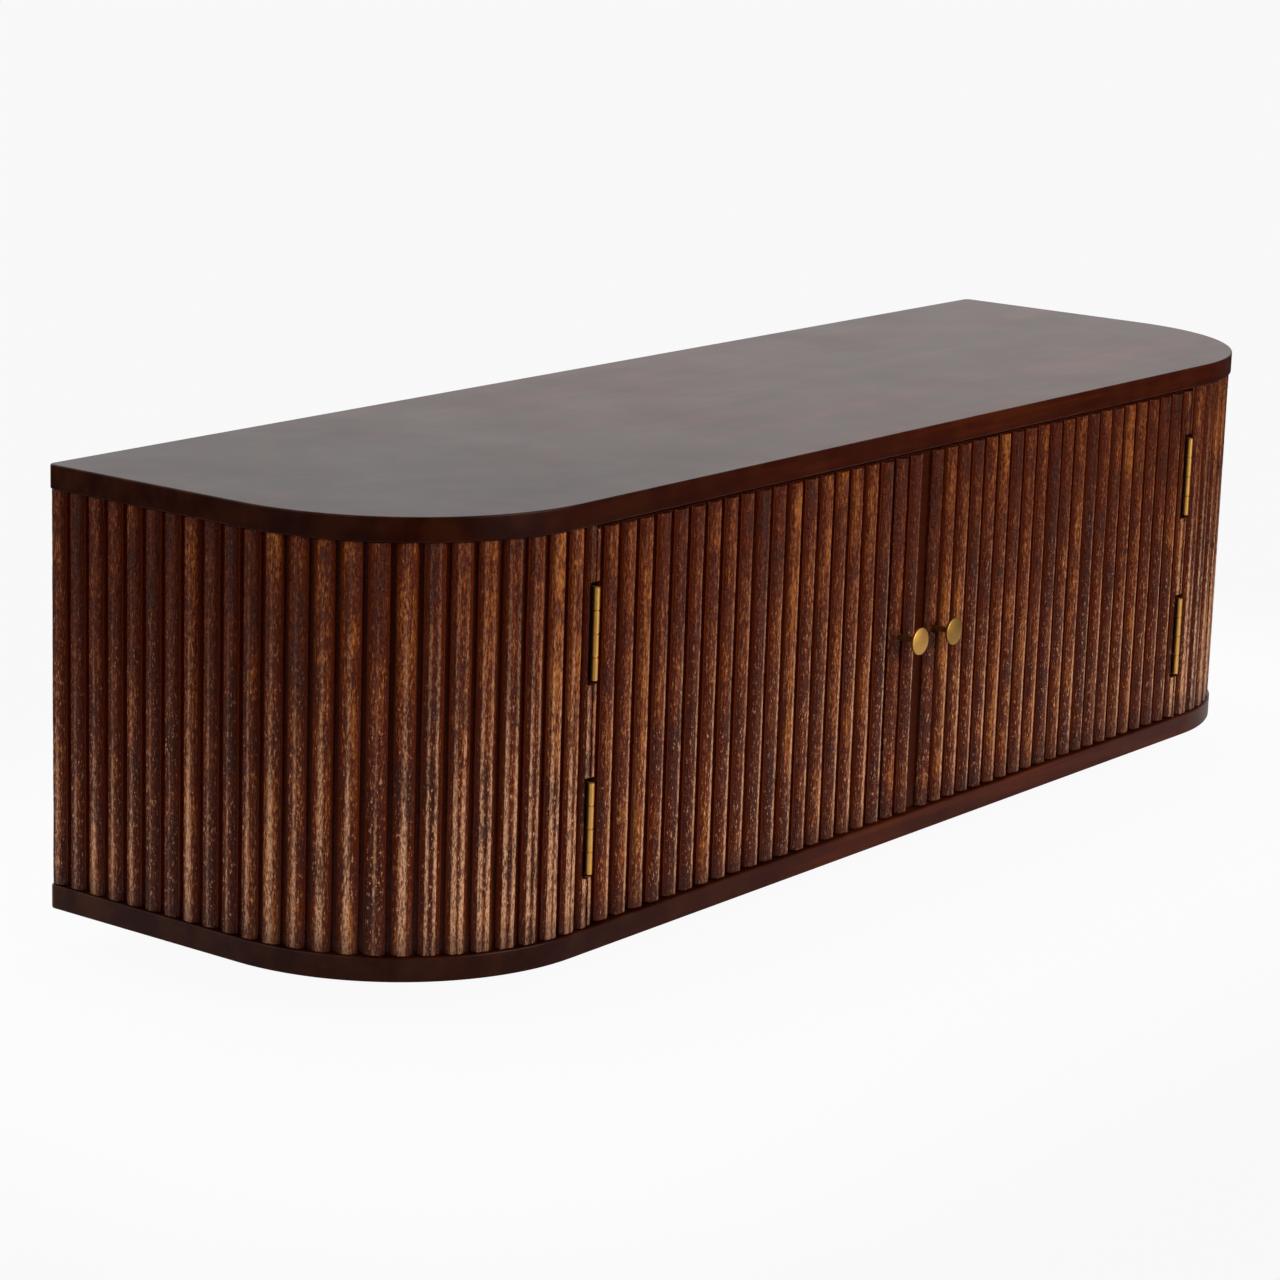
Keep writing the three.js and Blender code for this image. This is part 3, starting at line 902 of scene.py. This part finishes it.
def make_fibre_group():
    """Noise drawn out along the grain. Size is the size of its marks along each axis."""
    inputs = {**marks, "Detail": "Float", "Contrast": "Float"}
    tree, given, out = new_group("wood fibre", inputs, {"Value": "Float"})
    moved = shifted_place(tree, given)
    inputs = {"Vector": moved, "Scale": 1.0, "Detail": given["Detail"], "Roughness": fibre_roughness}
    grain = add_node(tree, "ShaderNodeTexNoise", inputs).outputs["Fac"]
    centred = math_node(tree, "SUBTRACT", grain, middle_level)
    strong = math_node(tree, "MULTIPLY_ADD", centred, given["Contrast"], middle_level, clamp=True)
    tree.links.new(strong, out["Value"])
    return tree


def make_pore_group():
    """Short open pores along the grain, as a mask. Share is how much of the surface they take."""
    tree, given, out = new_group("open pores", {**marks, "Share": "Float"}, {"Mask": "Float"})
    moved = shifted_place(tree, given)
    cells = add_node(tree, "ShaderNodeTexVoronoi", {"Vector": moved, "Scale": 1.0})
    near = math_node(tree, "SUBTRACT", given["Share"], cells.outputs["Distance"])
    tree.links.new(spread(tree, near, 0.0, pore_edge), out["Mask"])
    return tree


def make_stain_group():
    """Stain between a dark, a middle and a light colour as Tone goes from 0 to 1."""
    inputs = {"Tone": "Float", "Dark": "Color", "Middle": "Color", "Light": "Color"}
    tree, given, out = new_group("stain", inputs, {"Color": "Color"})
    lower = spread(tree, given["Tone"], 0.0, middle_level, kind="LINEAR")
    upper = spread(tree, given["Tone"], middle_level, 1.0, kind="LINEAR")
    deep = mix_colours(tree, lower, given["Dark"], given["Middle"])
    tree.links.new(mix_colours(tree, upper, deep, given["Light"]), out["Color"])
    return tree


def make_rub_group():
    """Edges rubbed by use, as a mask broken up by noise."""
    inputs = {"Place": "Vector", "Reach": "Float", "Patch": "Float"}
    tree, given, out = new_group("rubbed edges", inputs, {"Mask": "Float"})
    bare = tree.nodes.new("ShaderNodeNewGeometry").outputs["Pointiness"]
    edge = spread(tree, bare, middle_level, math_node(tree, "ADD", middle_level, given["Reach"]))
    patch = noise_node(tree, given["Place"], given["Patch"], Detail=rub_detail)
    tree.links.new(product(tree, edge, spread(tree, patch, *rub_break)), out["Mask"])
    return tree


def make_lacquer_group():
    """The lacquer's gloss, uneven where it pooled or was rubbed, and its fine skin as a height."""
    floats = ("Roughness", "Unevenness", "Patch", "Skin")
    inputs = {"Place": "Vector", **dict.fromkeys(floats, "Float")}
    tree, given, out = new_group("lacquer", inputs, {"Roughness": "Float", "Height": "Float"})
    cloud = noise_node(tree, given["Place"], given["Patch"], Detail=gloss_detail)
    offset = math_node(tree, "SUBTRACT", cloud, middle_level)
    rough = math_node(tree, "MULTIPLY_ADD", offset, given["Unevenness"], given["Roughness"])
    tree.links.new(rough, out["Roughness"])
    tree.links.new(noise_node(tree, given["Place"], given["Skin"], Detail=skin_detail), out["Height"])
    return tree


fibre = make_fibre_group()
pores = make_pore_group()
stain = make_stain_group()
rubbed = make_rub_group()
lacquer = make_lacquer_group()


def new_finish(name):
    """A material with its node tree, its shader and the place of each point on the piece."""
    material = bpy.data.materials.new(name)
    material.use_nodes = True
    tree = material.node_tree
    place = tree.nodes.new("ShaderNodeTexCoord").outputs["Object"]
    return material, tree, tree.nodes["Principled BSDF"], place


def fibre_marks(tree, place, *kinds, shift=0.0):
    """Fibre noise of each kind, given as the group's own inputs."""
    shared = {"Place": place, "Shift": shift, "Detail": fibre_detail}
    return [use_group(tree, fibre, **{**shared, **kind})["Value"] for kind in kinds]


def pore_mask(tree, place, kind, shift=0.0):
    return use_group(tree, pores, Place=place, Shift=shift, **kind)["Mask"]


def rub_mask(tree, place, kind):
    return use_group(tree, rubbed, Place=place, **kind)["Mask"]


def set_surface(tree, shader, colour, roughness, height, depth, sheen=None):
    """Feeds the shader. Depth is how deep the height's marks are, in metres."""
    tree.links.new(colour, shader.inputs["Base Color"])
    tree.links.new(roughness, shader.inputs["Roughness"])
    bump = add_node(tree, "ShaderNodeBump", {"Height": height, "Distance": depth, "Strength": 1.0})
    tree.links.new(bump.outputs[0], shader.inputs["Normal"])
    if sheen is not None:
        shader.inputs["Specular IOR Level"].default_value = sheen


# Slat finish. Sizes go across, across and along the grain. A spread, or heights, turns what is between
# its first two values into what is between its last two, or between 0 and 1
slat_cloud = {"Size": (0.05, 0.05, 0.15), "Contrast": 2.6}
slat_patch = {"Size": (0.016, 0.016, 0.05), "Contrast": 2.6}
slat_streak = {"Size": (0.0028, 0.0028, 0.05), "Contrast": 2.6}
slat_thread = {"Size": (0.0012, 0.0012, 0.005), "Contrast": 3.4}
slat_chatter = {"Size": (0.0017, 0.0017, 0.0024), "Contrast": 3.0}
slat_pore = {"Size": (0.0011, 0.0011, 0.006), "Share": 0.34}
slat_gloss = {"Roughness": 0.27, "Unevenness": 0.14, "Patch": 0.015, "Skin": 0.0015}
slat_stain = {
    "Dark": (0.048, 0.0060, 0.0003, 1),
    "Middle": (0.140, 0.0170, 0.0008, 1),
    "Light": (0.55, 0.165, 0.022, 1),
}
# Violet-brown for patches of the crowns, and for painted shade at the slats' feet
slat_violet_tone_and_shade = (0.05, 0.014, 0.009, 1)
slope_red = (0.085, 0.0105, 0.0005, 1)
# Lighter red painted into the bottoms of the slopes, as painted light in the grooves
groove_painted_light_red = (0.17, 0.02, 0.0008, 1)
web_dark = (0.05, 0.006, 0.0003, 1)
# Grey-violet painted sheen for the lower slopes
slope_sheen_slate = (0.04, 0.015, 0.011, 1)
# Pale tan of the painted highlights
slat_highlight_tan = (0.8, 0.4, 0.21, 1)
# Near black of open pores, also painted as shade on the case's front faces
pore_and_shade_dark = (0.010, 0.0018, 0.0004, 1)
slat_relief = 0.0005
slat_sheen = 0.16
slat_shift_reach = 731.0
slat_level = -0.6
slat_level_weights = (0.35, 0.4, 0.4, 0.32, 0.53)
slat_violet_spread = (0.3, 0.05, 0.0, 0.5)
slope_crown_spread = (0.15, 0.45, 0.0, 0.5)
face_crown_spread = (0.65, 1.0)
groove_light_crown_spread = (0.0, 0.3, 1.0, 0.0)
web_crown_spread = (-0.5, 0.0, 1.0, 0.0)
# Patches and heights of the painted sheen on the slopes
slat_sheen_patch_weights = (-0.6, 0.5)
slat_sheen_patch_spread = (0.15, 0.65)
slat_low_sheen_heights = (0.28, 0.06, 0.15, 1.0)
# Spreads and heights that place the painted highlights: on ridges, along arrises, and more of them low down
slat_ridge_highlight_spread = (0.4, 0.85)
slat_highlight_spread = (0.4, 0.8)
slat_highlight_breakup_weights = (0.4, 0.6)
slat_highlight_breakup_spread = (0.15, 0.6, 0.3, 1.3)
slat_speckle_spread = (0.05, 0.4, 0.45, 1.0)
slat_highlight_widening_heights = (0.2, 0.04, 0.0, 0.4)
slat_low_highlight_heights = (0.3, 0.08, 0.1, 0.9)
# Heights of the painted shade at the slats' feet
slat_foot_shade_heights = (0.046, 0.018, 0.0, 0.6)
slat_pore_share = 0.75
slat_relief_weights = (0.5, -0.5)


def make_slat_finish():
    """Stained slats, each with its own tone, fibrous and rough-sawn on the crown and smooth and dark in
    the grooves, where the bottoms of the slopes carry painted light and the lower slopes a painted grey
    sheen. Pale painted highlights lie along their arrises, down some of their middles and on the ridges
    of the crown, more of them low down, and their feet carry painted shade."""
    material, tree, shader, place = new_finish("slat stain and lacquer")
    tone, crown, wear = [point_value(tree, name) for name in ("tone", "crown", "wear")]
    height = axis_value(tree, place, "Z")
    shift = product(tree, tone, slat_shift_reach)
    [cloud] = fibre_marks(tree, place, slat_cloud)
    kinds = slat_patch, slat_streak, slat_thread, slat_chatter
    patch, streak, thread, chatter = fibre_marks(tree, place, *kinds, shift=shift)
    pore = pore_mask(tree, place, slat_pore, shift)

    level = weighed(tree, slat_level, slat_level_weights, tone, cloud, patch, streak, thread)
    colour = use_group(tree, stain, Tone=level, **slat_stain)["Color"]
    colour = mix_colours(tree, spread(tree, patch, *slat_violet_spread), colour, slat_violet_tone_and_shade)

    # Painted sheen: a grey-violet reflection painted in patches on the slopes, more of it low down
    sheen_patches = weighed(tree, cloud, slat_sheen_patch_weights, patch, streak)
    low_sheen = spread(tree, height, *slat_low_sheen_heights)
    painted_sheen = product(tree, low_sheen, spread(tree, sheen_patches, *slat_sheen_patch_spread))
    slope = mix_colours(tree, painted_sheen, slope_red, slope_sheen_slate)
    # Painted light: the bottoms of the slopes are painted a lighter red, lifting the shade in the grooves
    slope = mix_colours(tree, spread(tree, crown, *groove_light_crown_spread), slope, groove_painted_light_red)
    slope = mix_colours(tree, spread(tree, crown, *web_crown_spread, kind="LINEAR"), slope, web_dark)
    upper = spread(tree, crown, *slope_crown_spread)
    face = math_node(tree, "MAXIMUM", upper, spread(tree, crown, *face_crown_spread))
    colour = mix_colours(tree, face, slope, colour)

    # Painted highlights: pale flecks on the crown's ridges and pale lines along the arrises and middles,
    # stronger low down
    ridge = product(tree, chatter, thread)
    ridge_highlight = product(tree, spread(tree, ridge, *slat_ridge_highlight_spread), face)
    highlight_widening = spread(tree, height, *slat_highlight_widening_heights)
    wear = math_node(tree, "MULTIPLY_ADD", highlight_widening, tone, wear)
    highlight_breakup = weighed(tree, 0.0, slat_highlight_breakup_weights, thread, patch)
    bare = product(
        tree,
        spread(tree, wear, *slat_highlight_spread, kind="LINEAR"),
        spread(tree, highlight_breakup, *slat_highlight_breakup_spread),
        spread(tree, ridge, *slat_speckle_spread),
    )
    all_highlights = math_node(tree, "MAXIMUM", ridge_highlight, bare)
    low_highlight = spread(tree, height, *slat_low_highlight_heights)
    colour = mix_colours(tree, math_node(tree, "MULTIPLY", all_highlights, low_highlight, clamp=True), colour, slat_highlight_tan)
    # Painted shade at the slats' feet, next to the bottom board
    colour = mix_colours(tree, spread(tree, height, *slat_foot_shade_heights), colour, slat_violet_tone_and_shade)
    colour = mix_colours(tree, product(tree, face, slat_pore_share, pore), colour, pore_and_shade_dark)

    gloss = use_group(tree, lacquer, Place=place, **slat_gloss)
    relief = weighed(tree, product(tree, chatter, face), slat_relief_weights, thread, pore)
    set_surface(tree, shader, colour, gloss["Roughness"], relief, slat_relief, slat_sheen)
    return material


# Board finish. Sizes go along, across and across the grain
board_band = {"Size": (0.5, 0.05, 0.05), "Contrast": 2.2}
board_streak = {"Size": (0.12, 0.004, 0.004), "Contrast": 2.0}
board_fleck = {"Size": (0.02, 0.0008, 0.0008), "Contrast": 2.0}
board_patch = {"Size": (0.28, 0.035, 0.03), "Detail": 2.0, "Contrast": 2.6}
board_pore = {"Size": (0.009, 0.0011, 0.0011), "Share": 0.12}
board_pit = {"Size": (0.026, 0.02, 0.02), "Share": 0.05}
board_rub = {"Reach": 0.06, "Patch": 0.03}
board_gloss = {"Roughness": 0.3, "Unevenness": 0.08, "Patch": 0.08, "Skin": 0.004}
board_stain = {
    "Dark": (0.014, 0.0015, 0.0003, 1),
    "Middle": (0.05, 0.0055, 0.0006, 1),
    "Light": (0.15, 0.024, 0.003, 1),
}
board_worn = (0.24, 0.075, 0.02, 1)
board_relief = 0.00005
board_sheen = 0.125
board_level = -0.02
board_level_weights = (0.3, 0.3, 0.15, 0.26)
# Painted shade: the boards darken towards their left ends
board_left_shade_spread = (-0.5, 0.0, 0.75, 0.0)
board_pore_share = 0.7
board_pit_strength = 4
board_worn_share = 0.3
board_relief_weights = (0.25, -0.6, -4)


def make_board_finish():
    """Dark chestnut boards with satin lacquer, lighter where their edges are rubbed, with painted shade
    darkening them towards their left ends.
    """
    material, tree, shader, place = new_finish("board stain and lacquer")
    band, streak, fleck, patch = fibre_marks(tree, place, board_band, board_streak, board_fleck, board_patch)
    pore = pore_mask(tree, place, board_pore)
    pit = math_node(tree, "MULTIPLY", pore_mask(tree, place, board_pit), board_pit_strength, clamp=True)
    level = weighed(tree, board_level, board_level_weights, band, streak, fleck, patch)
    colour = use_group(tree, stain, Tone=level, **board_stain)["Color"]
    # Painted shade: the boards are painted darker towards their left ends
    left_end_shade = spread(tree, axis_value(tree, place, "X"), *board_left_shade_spread)
    colour = mix_colours(tree, left_end_shade, colour, board_stain["Dark"])
    open_pore = math_node(tree, "MAXIMUM", pit, product(tree, pore, board_pore_share))
    colour = mix_colours(tree, open_pore, colour, pore_and_shade_dark)
    edge = product(tree, rub_mask(tree, place, board_rub), board_worn_share)
    colour = mix_colours(tree, edge, colour, board_worn)
    gloss = use_group(tree, lacquer, Place=place, **board_gloss)
    relief = weighed(tree, gloss["Height"], board_relief_weights, fleck, pore, pit)
    set_surface(tree, shader, colour, gloss["Roughness"], relief, board_relief, board_sheen)
    return material


# Case, back and rails
timber_band_share = 8
timber_pore_share = 0.5
timber_band_contrast = 2.0
timber_streak_contrast = 2.2
timber_pore_spread_share = 0.2
timber_level_weights = (0.5, 0.5)
timber_gloss = {"Unevenness": 0.1, "Patch": 0.05, "Skin": 0.003}
timber_relief = 0.00008
timber_relief_weights = (-0.5,)
timber_sheen = 0.12
# Painted shade on the case's front faces: where it starts and ends along Y, and its share
case_front_shade_spread = (-0.166, -0.164, 1.0, 0.0)
timbers = {
    "case_wood": {
        "name": "case stain",
        "grain": (0.0018, 0.0018, 0.05),
        "Dark": (0.018, 0.006, 0.003, 1),
        "Middle": (0.05, 0.018, 0.008, 1),
        "Light": (0.1, 0.04, 0.018, 1),
        "roughness": 0.5,
    },
    "back_wood": {
        "name": "back plywood stain",
        "grain": (0.06, 0.0025, 0.0025),
        "Dark": (0.03, 0.012, 0.006, 1),
        "Middle": (0.06, 0.026, 0.013, 1),
        "Light": (0.11, 0.05, 0.025, 1),
        "roughness": 0.65,
    },
    "rail_wood": {
        "name": "bare softwood",
        "grain": (0.09, 0.003, 0.003),
        "Dark": (0.2, 0.11, 0.05, 1),
        "Middle": (0.34, 0.21, 0.1, 1),
        "Light": (0.48, 0.33, 0.18, 1),
        "roughness": 0.7,
    },
}


def make_timber_finish(name, grain, roughness, **colours):
    """Plain timber, for the case, the back and the rails, with painted shade on the case's front faces.
    grain is the size of its streaks by axis.
    """
    material, tree, shader, place = new_finish(name)
    wide, short = [tuple(share * size for size in grain) for share in (timber_band_share, timber_pore_share)]
    bands = {"Size": wide, "Contrast": timber_band_contrast}
    streaks = {"Size": grain, "Contrast": timber_streak_contrast}
    band, streak = fibre_marks(tree, place, bands, streaks)
    pore = pore_mask(tree, place, {"Size": short, "Share": timber_pore_spread_share})
    level = weighed(tree, 0.0, timber_level_weights, band, streak)
    colour = use_group(tree, stain, Tone=level, **colours)["Color"]
    colour = mix_colours(tree, product(tree, pore, timber_pore_share), colour, colours["Dark"])
    # Painted shade: the case's front faces, seen in the hinge notches and the gaps, are painted near black
    front = spread(tree, axis_value(tree, place, "Y"), *case_front_shade_spread, kind="LINEAR")
    colour = mix_colours(tree, front, colour, pore_and_shade_dark)
    gloss = use_group(tree, lacquer, Place=place, Roughness=roughness, **timber_gloss)
    relief = weighed(tree, streak, timber_relief_weights, pore)
    set_surface(tree, shader, colour, gloss["Roughness"], relief, timber_relief, timber_sheen)
    return material


# Metals
metal_cloud = {"Size": (0.006, 0.006, 0.006), "Contrast": 1.6}
metal_line = {"Size": (0.002, 0.002, 0.0001), "Contrast": 1.5}
metal_rub = {"Reach": 0.08, "Patch": 0.003}
metal_gloss = {"Unevenness": 0.15, "Patch": 0.004, "Skin": 0.0015}
metal_relief = 0.00001
metal_relief_weights = (0.3,)
# Dark brown of the painted shade on brass
metal_tarnish = (0.035, 0.018, 0.006, 1)
metals = {
    "brass": {
        "name": "brass",
        "bright": (1, 0.56, 0.15, 1),
        "dull": (0.92, 0.48, 0.11, 1),
        "roughness": 0.44,
    },
    "steel": {
        "name": "zinc-plated steel",
        "bright": (0.6, 0.6, 0.6, 1),
        "dull": (0.4, 0.4, 0.41, 1),
        "roughness": 0.35,
    },
}


def make_metal_finish(name, bright, dull, roughness):
    """Turned or rolled metal with its edges rubbed bright, darkened by painted shade on the points that
    carry it.
    """
    material, tree, shader, place = new_finish(name)
    cloud, line = fibre_marks(tree, place, metal_cloud, metal_line)
    polish = math_node(tree, "MAXIMUM", cloud, rub_mask(tree, place, metal_rub))
    colour = mix_colours(tree, polish, dull, bright)
    # Painted shade: points that carry it are darkened towards a dark brown
    colour = mix_colours(tree, point_value(tree, "tarnish"), colour, metal_tarnish)
    gloss = use_group(tree, lacquer, Place=place, Roughness=roughness, **metal_gloss)
    relief = weighed(tree, gloss["Height"], metal_relief_weights, line)
    set_surface(tree, shader, colour, gloss["Roughness"], relief, metal_relief)
    shader.inputs["Metallic"].default_value = 1.0
    return material


# Moulded plastic
plastic_cloud = {"Size": (0.008, 0.008, 0.008), "Contrast": 1.5}
plastic_rub = {"Reach": 0.08, "Patch": 0.004}
plastic_gloss = {"Roughness": 0.5, "Unevenness": 0.1, "Patch": 0.01, "Skin": 0.0006}
plastic_level_weights = (0.4, 0.6)
plastic_relief = 0.00004
plastic_dark = (0.008, 0.008, 0.008, 1)
plastic_light = (0.03, 0.029, 0.028, 1)


def make_plastic_finish():
    """Black moulded plastic, finely stippled, with its edges rubbed paler."""
    material, tree, shader, place = new_finish("black moulded plastic")
    [cloud] = fibre_marks(tree, place, plastic_cloud)
    level = weighed(tree, 0.0, plastic_level_weights, cloud, rub_mask(tree, place, plastic_rub))
    colour = mix_colours(tree, level, plastic_dark, plastic_light)
    gloss = use_group(tree, lacquer, Place=place, **plastic_gloss)
    set_surface(tree, shader, colour, gloss["Roughness"], gloss["Height"], plastic_relief)
    return material


# Camera
camera_place = (-2.5095, -1.8054, 0.8646)
camera_azimuth = 0.9218
camera_pitch = 0.2345
camera_roll = 0.0321
camera_lens = 109.53


def add_camera():
    """The photographer's view: azimuth from +Y towards +X, pitch downwards, and a slight roll."""
    camera = bpy.data.objects.new("camera", bpy.data.cameras.new("camera"))
    camera.data.lens = camera_lens
    turn = Matrix.Translation(camera_place)
    for angle, axis in ((-camera_azimuth, "Z"), (math.pi / 2 - camera_pitch, "X"), (camera_roll, "Z")):
        turn = turn @ Matrix.Rotation(angle, 4, axis)
    camera.matrix_world = turn
    bpy.context.scene.collection.objects.link(camera)
    bpy.context.scene.camera = camera


# Lamps: place, what they aim at, width and height in metres, and power
softboxes = {
    "front softbox": ((0.3, -3.4, 1.3), (0, 0, 0.15), (2.8, 2.2), 92),
    "left softbox": ((-3.0, -0.25, 1.0), (-0.45, -0.1, 0.15), (2.4, 1.5), 14.5),
    "overhead softbox": ((0.2, 0.3, 3.0), (0, 0, 0.2), (2.4, 1.6), 20),
}


def add_softbox(name, place, aim, size, power):
    lamp = bpy.data.lights.new(name, "AREA")
    lamp.shape = "RECTANGLE"
    lamp.size, lamp.size_y = size
    lamp.energy = power
    softbox = bpy.data.objects.new(name, lamp)
    softbox.location = place
    softbox.rotation_mode = "QUATERNION"
    softbox.rotation_quaternion = (Vector(aim) - Vector(place)).to_track_quat("-Z", "Y")
    bpy.context.scene.collection.objects.link(softbox)


def background_seen(tree, glossy_share):
    """How much of the white background a ray sees: all from the camera, a share when mirrored."""
    rays = tree.nodes.new("ShaderNodeLightPath").outputs
    mirrored = math_node(tree, "MAXIMUM", rays["Is Glossy Ray"], rays["Is Transmission Ray"])
    return math_node(tree, "MAXIMUM", rays["Is Camera Ray"], product(tree, mirrored, glossy_share))


# World
room_dark = 0.03
room_behind = 0.97
room_mirrored_share = 0.03
room_turn = 0.5


def add_world():
    """A room that is white behind and dark in front. The camera sees it white."""
    world = bpy.data.worlds.new("studio")
    bpy.context.scene.world = world
    world.use_nodes = True
    tree = world.node_tree
    way = tree.nodes.new("ShaderNodeTexCoord").outputs["Generated"]
    room = spread(tree, axis_value(tree, way, "Y"), 0.0, room_turn, room_dark, room_behind)
    seen = background_seen(tree, room_mirrored_share)
    shown = add_node(tree, "ShaderNodeMix", {0: seen, 2: room, 3: 1.0}).outputs[0]
    background = tree.nodes["Background"]
    background.inputs["Color"].default_value = (1, 1, 1, 1)
    tree.links.new(shown, background.inputs["Strength"])


# Floor
floor_gap = 0.03
floor_reach = 30
floor_near = 0.15
floor_far = 0.55
# The floor's painted pool of light: its colour round the console and further off
floor_painted_light = 0.8
floor_painted_dim = 0.05
floor_shown_share = 0.94
floor_mirrored_share = 0.03


def add_floor():
    """A pale floor with a painted pool of light, bright round the console and dim further off, and white to
    the camera.
    """
    shells = Shells()
    half = floor_reach / 2
    corners = [(-half, -half), (half, -half), (half, half), (-half, half)]
    shells.add([(x, y, -floor_gap) for x, y in corners], [[0, 1, 2, 3]])
    floor = shells.made("floor")
    material, tree, shader, place = new_finish("pale floor")
    plan = vector_node(tree, "ABSOLUTE", place)[0]
    past = vector_node(tree, "SUBTRACT", plan, (half_width, half_depth, floor_gap))[0]
    outside = vector_node(tree, "MAXIMUM", past, (0, 0, 0))[0]
    away = vector_node(tree, "LENGTH", outside)["Value"]
    # Painted light: the floor's colour is a pool of light, bright round the console and dim further off
    bright = spread(tree, away, floor_near, floor_far, floor_painted_light, floor_painted_dim)
    tree.links.new(bright, shader.inputs["Base Color"])
    shader.inputs["Roughness"].default_value = 1.0
    shader.inputs["Specular IOR Level"].default_value = 0.0
    white = add_node(tree, "ShaderNodeEmission", {"Color": (1, 1, 1, 1), "Strength": 1.0})
    seen = product(tree, background_seen(tree, floor_mirrored_share), floor_shown_share)
    mixed = add_node(tree, "ShaderNodeMixShader", {0: seen, 1: shader.outputs[0], 2: white.outputs[0]})
    tree.links.new(mixed.outputs[0], tree.nodes["Material Output"].inputs["Surface"])
    floor.data.materials.append(material)


bpy.context.scene.view_settings.view_transform = "Standard"
add_camera()
add_world()
add_floor()
for name, (place, aim, size, power) in softboxes.items():
    add_softbox(name, place, aim, size, power)

finishes = {"slat_wood": make_slat_finish(), "board_wood": make_board_finish()}
for slot, given in timbers.items():
    finishes[slot] = make_timber_finish(**given)
finishes["catch_plastic"] = make_plastic_finish()
for slot, given in metals.items():
    finishes[slot] = make_metal_finish(**given)

for board_name in ("bottom_board", "top_board"):
    make_board(board_name)
kept_nodes = {"centre_divider": "case_wood", "hanging_rail": "rail_wood", "wall_batten": "rail_wood"}
for side_name in side_signs:
    make_end_facing(side_name)
    make_door_facing(side_name)
    make_end_shell(side_name)
    make_knob(side_name)
    make_knob_screw(side_name)
    make_catch(side_name)
    make_strike_plate(side_name)
    for level in ("upper", "lower"):
        make_hinge(side_name, level)
    for node_name in ("_jamb_post", "_door_board"):
        kept_nodes[side_name + node_name] = "case_wood"
make_back_panel()

for name, slot in kept_nodes.items():
    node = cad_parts[name]
    eased(node, case_ease, ease_steps)
    for held in node.material_slots:
        held.material = finishes[slot]
